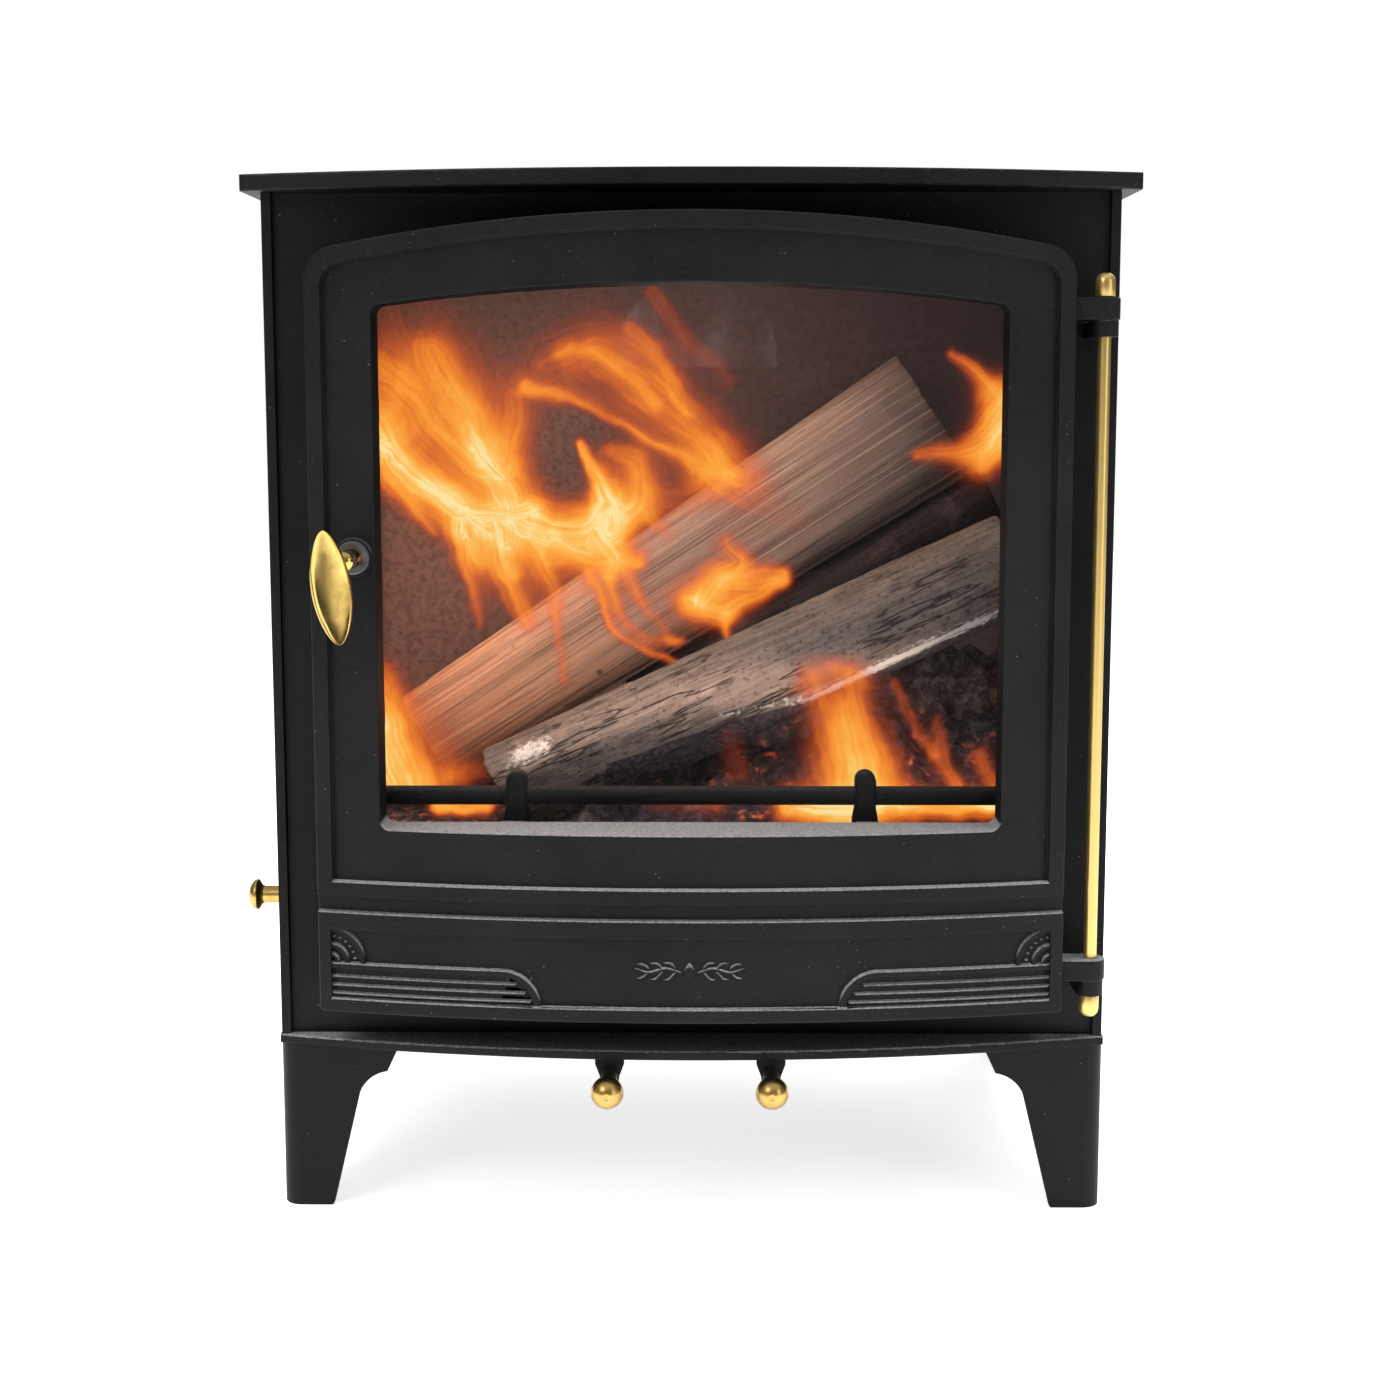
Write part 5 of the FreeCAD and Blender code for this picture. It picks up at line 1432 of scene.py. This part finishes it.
# ---------------------------------------------------------------- fire
@dataclass(frozen=True)
class Lick:
    """One lick of flame along a line: radii and heats run from its first point to its last."""

    line: tuple[Point, ...]
    radii: Point
    heats: Point


def licks(*rows: tuple[float, ...]) -> tuple[Lick, ...]:
    """Licks from rows of numbers: x and z of each point, then the two radii and the two heats."""
    return tuple(Lick(tuple(zip(row[:-4:2], row[1:-4:2])), row[-4:-2], row[-2:]) for row in rows)


MAIN_LICKS = licks(
    (-199, 571, -183, 534, -197, 497, 26, 22, 0.16, 0.36),
    (-159, 565, -143, 534, -146, 507, 18, 15, 0.12, 0.28),
    (-205, 534, -181, 515, -162, 489, -138, 470, 14, 14, 0.46, 0.64),
    (-207, 497, -193, 472, -174, 453, -155, 440, 15, 12, 0.7, 0.85),
    (-206, 483, -185, 462, -160, 444, -133, 437, -106, 437, 6, 5, 0.85, 0.95),
    (-172, 542, -149, 505, -133, 472, -120, 437, 11, 11, 0.5, 0.85),
    (-116, 515, -118, 489, -125, 462, 11, 11, 0.42, 0.62),
    (-141, 483, -133, 470, -127, 462, 6, 4, 0.9, 0.9),
    (-166, 451, -152, 424, -142, 407, 4, 4, 0.85, 0.6),
    (-147, 435, -125, 418, -120, 399, 4, 3, 0.8, 0.6),
    (-207, 472, -190, 451, -174, 422, 6, 3, 0.55, 0.3),
    (-154, 429, -150, 399, -144, 363, 11, 4, 0.7, 0.3),
    (-133, 429, -126, 399, -111, 362, 14, 6, 0.78, 0.42),
    (-112, 424, -98, 399, -92, 376, 11, 4, 0.6, 0.25),
    (-112, 433, -90, 426, -68, 428, -54, 440, 11, 9, 0.8, 0.85),
    (-53, 429, -58, 451, -68, 468, -74, 480, 9, 2, 0.95, 0.8),
    (-52, 429, -37, 451, -41, 471, -55, 476, 13, 6, 0.66, 0.45),
    (-93, 417, -68, 409, -52, 409, -34, 407, 10, 5, 0.72, 0.62),
    (-63, 424, -52, 410, -55, 399, 11, 5, 0.8, 0.6),
    (-109, 521, -78, 513, -51, 499, -24, 480, 3, 467, 26, 462, 3, 4, 0.6, 0.4),
    (-86, 542, -62, 542, -40, 526, -24, 510, 3, 4, 0.4, 0.42),
    (-40, 558, -24, 542, -11, 521, -3, 505, 4, 4, 0.3, 0.4),
    (-94, 534, -62, 545, -30, 531, -5, 507, 16, 478, 31, 464, 17, 14, 0.3, 0.37),
    (-67, 534, -40, 515, -13, 494, 11, 470, 14, 12, 0.3, 0.36),
    (-41, 462, -19, 448, 3, 451, 22, 462, 11, 9, 0.3, 0.26),
    (-24, 583, -12, 564, 0, 547, 16, 535, 24, 523, 4, 5, 0.34, 0.2),
    (-62, 568, -40, 550, -24, 531, 19, 19, 0.12, 0.16),
    (11, 470, 38, 448, 68, 434, 19, 15, 0.28, 0.2),
    (-38, 445, -27, 437, -14, 424, 6, 4, 0.4, 0.25),
    (3, 380, 16, 394, 31, 405, 23, 417, 12, 6, 0.74, 0.5),
    (-4, 379, 19, 370, 41, 380, 59, 392, 7, 4, 0.68, 0.62),
    (24, 391, 44, 394, 57, 394, 11, 5, 0.74, 0.6),
    (22, 369, 27, 351, 4, 2, 0.6, 0.35),
    (-71, 399, -60, 377, -52, 357, -36, 346, -12, 335, 2, 2, 0.5, 0.5),
    (-55, 394, -51, 376, -41, 359, -25, 349, -10, 352, 3, 2, 0.55, 0.45),
    (-93, 372, -90, 344, -88, 322, 3, 2, 0.42, 0.42),
    (-41, 396, -30, 375, -14, 350, 4, 2, 0.36, 0.4),
    (-98, 385, -63, 391, -41, 380, 16, 11, 0.26, 0.24),
    (207, 507, 196, 488, 178, 475, 149, 474, 14, 4, 0.8, 0.5),
    (208, 494, 200, 478, 192, 468, 12, 8, 0.85, 0.75),
    (201, 507, 184, 527, 168, 540, 8, 2, 0.6, 0.5),
    (-212, 325, -201, 291, -187, 250, 9, 17, 0.5, 0.86),
    (-212, 294, -205, 250, 12, 16, 0.8, 0.9),
    (-206, 311, -176, 297, -163, 266, 14, 14, 0.24, 0.24),
    (-163, 258, -127, 272, -102, 289, 8, 7, 0.2, 0.16),
)
FRONT_LICKS = licks(
    (80, 338, 89, 307, 97, 259, 12, 17, 0.3, 0.74),
    (104, 337, 111, 307, 124, 259, 11, 15, 0.36, 0.7),
    (99, 315, 105, 286, 108, 257, 8, 11, 0.4, 0.93),
    (70, 332, 89, 341, 111, 335, 5, 5, 0.2, 0.24),
    (155, 309, 160, 283, 172, 263, 3, 4, 0.35, 0.5),
    (129, 334, 141, 312, 155, 286, 2, 2, 0.28, 0.32),
    (185, 286, 197, 265, 6, 6, 0.35, 0.42),
    (-161, 253, -130, 252, 4, 4, 0.95, 0.85),
    (63, 253, 105, 252, 8, 8, 0.95, 0.9),
    (115, 254, 157, 253, 201, 255, 6, 6, 0.85, 0.9),
    (24, 301, 31, 275, 6, 7, 0.22, 0.25),
    (-23, 257, 19, 254, 5, 6, 0.2, 0.3),
)


@dataclass
class FlameSheet:
    """A curtain of flame: a billowing surface that carries the heat and flow of its licks."""

    name: str
    licks: tuple[Lick, ...]
    depth: float
    x_span: Point
    z_span: Point
    pitch: float
    seed: int
    bulge: Callable[[np.ndarray, np.ndarray], np.ndarray]
    swell: float = 1.15
    feather: float = 1.2
    cut_off: float = 3.4
    sway: float = 9.0
    flicker: float = 3.6
    hottest: float = 0.93

    def radius_of(self, nominal: np.ndarray | float) -> np.ndarray | float:
        """Radius of a lick once it is swollen and feathered."""
        return self.swell * nominal + self.feather

    def heat_at(self, x: np.ndarray, z: np.ndarray) -> tuple[np.ndarray, np.ndarray]:
        """Heat and flow of the licks.

        Args:
            x: Places across.
            z: Heights.

        Returns:
            Heat from 0 to 1, and the place (along, aside) on the strongest lick in metres.
        """
        rough = Roughness(self.seed)
        place = np.stack([x, z, np.zeros_like(x)], 1)
        sway = [self.sway * (rough.layers(place / 34.0 + shift, 2) - 0.5) for shift in (0.0, 50.0)]
        flick = [self.flicker * (rough.layers(place / 9.0 + shift, 2) - 0.5) for shift in (90.0, 140.0)]
        spot = np.stack([x + sway[0] + flick[0], z + sway[1] + flick[1]], 1)
        cool = np.ones(len(x))
        best, flow = np.zeros(len(x)), np.zeros((len(x), 3))
        for number, lick in enumerate(self.licks):
            line = eased(lick.line, 8)
            reach = self.cut_off * self.radius_of(max(lick.radii))
            low, high = line.min(0) - reach, line.max(0) + reach
            near = np.flatnonzero(((spot > low) & (spot < high)).all(1))
            if not len(near):
                continue
            runs = np.diff(line, axis=0)
            lengths = np.linalg.norm(runs, axis=1)
            start = np.concatenate([[0.0], np.cumsum(lengths)[:-1]])
            rel = spot[near][:, None, :] - line[:-1][None]
            share = np.clip((rel * runs).sum(2) / lengths**2, 0.0, 1.0)
            away = rel - share[..., None] * runs
            gap = np.linalg.norm(away, axis=2)
            run = gap.argmin(1)
            pick = np.arange(len(near))
            along = start[run] + share[pick, run] * lengths[run]
            turn = runs[run, 0] * rel[pick, run, 1] - runs[run, 1] * rel[pick, run, 0]
            aside = gap[pick, run] * np.sign(turn)
            part = along / lengths.sum()
            radius = self.radius_of(lick.radii[0] + (lick.radii[1] - lick.radii[0]) * part)
            level = lick.heats[0] + (lick.heats[1] - lick.heats[0]) * part
            fibre = np.stack([along / 46.0, aside / 4.2, np.full_like(along, 7.3 * number)], 1)
            fibre = rough.layers(fibre, 3, 0.6)
            core = np.exp(-1.1 * (aside / radius) ** 2) * (0.5 + 0.9 * fibre)
            heat = level * (0.8 * core + 0.2 * np.exp(-0.3 * (aside / radius) ** 2))
            cool[near] *= 1.0 - np.clip(heat, 0.0, self.hottest)
            wins = heat > best[near]
            best[near[wins]] = heat[wins]
            flow[near[wins]] = np.stack([along, aside, np.full_like(along, 31.0 * number)], 1)[wins] * MM
        return 1.0 - cool, flow

    def build(self) -> None:
        """Lay the curtain where there is heat."""
        xs = np.arange(self.x_span[0], self.x_span[1] + self.pitch, self.pitch)
        zs = np.arange(self.z_span[0], self.z_span[1] + self.pitch, self.pitch)
        x, z = grid(xs, zs)
        heat, flow = self.heat_at(x, z)
        lit = (heat > 0.02).reshape(len(zs), len(xs))
        cells = lit[:-1, :-1] | lit[1:, :-1] | lit[:-1, 1:] | lit[1:, 1:]
        rows, columns = np.nonzero(cells)
        corner = rows * len(xs) + columns
        quads = np.stack([corner, corner + 1, corner + len(xs) + 1, corner + len(xs)], 1)
        used, quads = np.unique(quads, return_inverse=True)
        x, z, heat, flow = x[used], z[used], heat[used], flow[used]
        points = np.stack([x, self.depth - self.bulge(x, z) * heat, z], 1)
        sheet = add_piece(self.name, points, quads.reshape(-1, 4).tolist(), FLAME, "root")
        sheet.visible_diffuse = sheet.visible_glossy = False
        carry(sheet, "warmth", heat)
        carry(sheet, "flow", flow)


def main_bulge(x: np.ndarray, z: np.ndarray) -> np.ndarray:
    """How far the main flames billow forwards: only well above the front log."""
    above = (z - 253.0) * 0.9076 - (x + 124.0) * 0.4199
    rough = Roughness(71)
    billow = rough.layers(np.stack([x / 55.0, z / 75.0, np.zeros_like(x)], 1), 3)
    return 1.0 + 38.0 * stepped(above, 46.0, 95.0) * billow


def front_bulge(x: np.ndarray, z: np.ndarray) -> np.ndarray:
    """How far the low flames billow forwards: a little."""
    return 1.5 + 1.5 * np.sin(x / 14.0) * np.cos(z / 19.0)


@dataclass
class Fire:
    """Flame curtains, and the lit smoke that rolls up behind them over the baffle's edge."""

    smoke_depth: float = 168.4
    smoke_x: float = 224.0
    smoke_z: tuple[float, float] = (236.0, 601.0)

    def build(self) -> None:
        """Make the curtains and the smoke."""
        sheets = (
            FlameSheet("main_flames", MAIN_LICKS, 116.5, (-224.0, 222.0), (246.0, 600.0), 1.7, 5, main_bulge),
            FlameSheet("low_flames", FRONT_LICKS, 34.5, (-200.0, 214.0), (238.0, 352.0), 1.5, 9, front_bulge),
        )
        for sheet in sheets:
            sheet.build()
        self.add_smoke()

    def add_smoke(self) -> None:
        """Rolling surface whose body thins out at its rim."""
        columns, rows = 90, 74
        x, z = grid(np.linspace(-self.smoke_x, self.smoke_x, columns), np.linspace(*self.smoke_z, rows))
        roll = Roughness(83).layers(np.stack([x / 90.0, z / 70.0, np.zeros_like(x)], 1), 3)
        points = np.stack([x, self.smoke_depth + 3.0 * roll, z], 1)
        smoke = add_piece("rolling_smoke", points, grid_faces(columns, rows), SMOKE, "root")
        smoke.visible_glossy = False
        body = stepped(self.smoke_x - np.abs(x), 0.0, 12.0) * stepped(z, self.smoke_z[0], 300.0)
        carry(smoke, "body", body)


# ---------------------------------------------------------------- studio
@dataclass
class Lamp:
    """One soft rectangular light."""

    name: str
    place: Vector
    aim: Vector
    size: tuple[float, float]
    power: float
    tint: Colour = (1.0, 1.0, 1.0)
    mirrored: bool = True

    def build(self) -> None:
        """Hang the lamp."""
        data = bpy.data.lights.new(self.name, "AREA")
        data.shape = "RECTANGLE"
        data.size, data.size_y = self.size
        data.energy = self.power
        data.color = self.tint
        lamp = bpy.data.objects.new(self.name, data)
        lamp.location = self.place
        lamp.rotation_mode = "QUATERNION"
        lamp.rotation_quaternion = (self.aim - self.place).to_track_quat("-Z", "Y")
        lamp.visible_camera = False
        lamp.visible_glossy = self.mirrored
        bpy.context.scene.collection.objects.link(lamp)


@dataclass
class Studio:
    """Pale floor, soft lights, warm light in the firebox, and the camera."""

    lens: float = 56.74
    camera_place: tuple[float, float, float] = (0.0159, -1.5056, 0.5088)
    camera_ahead: tuple[float, float, float] = (-0.0130, 0.9914, -0.1302)
    camera_roll: float = -0.0009
    floor_half: float = 6.0

    def build(self) -> None:
        """Set up everything round the stove."""
        scene = bpy.context.scene
        scene.view_settings.view_transform = "Standard"
        self.add_world(scene)
        self.add_floor()
        self.add_lights()
        self.add_camera(scene)

    def add_world(self, scene: bpy.types.Scene) -> None:
        """White surroundings that light the stove less than they show."""
        scene.world = bpy.data.worlds.new("surroundings")
        scene.world.use_nodes = True
        tree = Tree(scene.world.node_tree)
        height = tree.part(tree.node("ShaderNodeTexCoord", output="Generated"), 2)
        sky = tree.ramp(height, (
            (0.0, (0.035, 0.035, 0.037)), (0.14, (0.07, 0.07, 0.073)), (0.3, (0.42, 0.42, 0.43)),
            (0.5, (0.16, 0.16, 0.165)), (0.7, (0.75, 0.75, 0.77)), (1.0, (0.8, 0.8, 0.82)),
        ))
        seen = tree.node("ShaderNodeLightPath", output="Is Camera Ray")
        tone = tree.blend(seen, sky, (1.0, 1.0, 1.0))
        shell = tree.node("ShaderNodeBackground", sockets={"Color": tone, "Strength": 1.0})
        tree.node("ShaderNodeOutputWorld", sockets={"Surface": shell})

    def add_floor(self) -> None:
        """Wide flat floor, marked as stage."""
        half = self.floor_half
        mesh = bpy.data.meshes.new("floor")
        corners = [(-half, -half, 0.0), (half, -half, 0.0), (half, half, 0.0), (-half, half, 0.0)]
        mesh.from_pydata(corners, [], [(0, 1, 2, 3)])
        mesh.materials.append(FLOOR.material())
        floor = bpy.data.objects.new("floor", mesh)
        bpy.context.scene.collection.objects.link(floor)

    def add_lights(self) -> None:
        """Key from upper left, fill from the right, a wide light above, and fire light inside."""
        middle = Vector((0.0, -0.1, 0.35))
        warm = (1.0, 0.76, 0.58)
        lamps = (
            Lamp("key", Vector((-1.5, -2.0, 1.9)), middle, (1.2, 1.2), 20.0),
            Lamp("fill", Vector((1.9, -1.7, 0.9)), middle, (0.7, 1.6), 8.0),
            Lamp("overhead", Vector((0.0, -0.5, 2.5)), middle, (2.4, 1.2), 105.0, mirrored=False),
            Lamp("rear", Vector((0.6, 2.2, 1.6)), middle, (1.8, 1.4), 24.0),
            Lamp("fire_upper", at(-60, 44, 590), at(-60, 150, 400), (0.30, 0.05), 0.85, warm, False),
            Lamp("fire_left", at(-196, 60, 470), at(0, 130, 380), (0.05, 0.16), 0.42, warm, False),
            Lamp("fire_low", at(0, 31, 330), at(0, 120, 300), (0.34, 0.03), 0.11, warm, False),
        )
        for lamp in lamps:
            lamp.build()

    def add_camera(self, scene: bpy.types.Scene) -> None:
        """Camera a little above the door's middle, looking slightly down."""
        data = bpy.data.cameras.new("camera")
        data.sensor_width = 36.0
        data.lens = self.lens
        data.clip_start, data.clip_end = 0.02, 60.0
        camera = bpy.data.objects.new("camera", data)
        camera.location = self.camera_place
        camera.rotation_mode = "QUATERNION"
        facing = Vector(self.camera_ahead).to_track_quat("-Z", "Y")
        camera.rotation_quaternion = facing @ Quaternion((0.0, 0.0, 1.0), self.camera_roll)
        scene.collection.objects.link(camera)
        scene.camera = camera


def main() -> None:
    """Build the stove's sub-assemblies in order, then the studio."""
    logging.basicConfig(level=logging.INFO, format="%(message)s")
    kinds = (BodyShell, Firebox, Door, Latch, Hinge, AirControls, Riddler, WoodPile, Fire, Studio)
    for kind in kinds:
        log.info("-- %s", kind.__name__)
        kind().build()


if __name__ == "__main__":
    main()
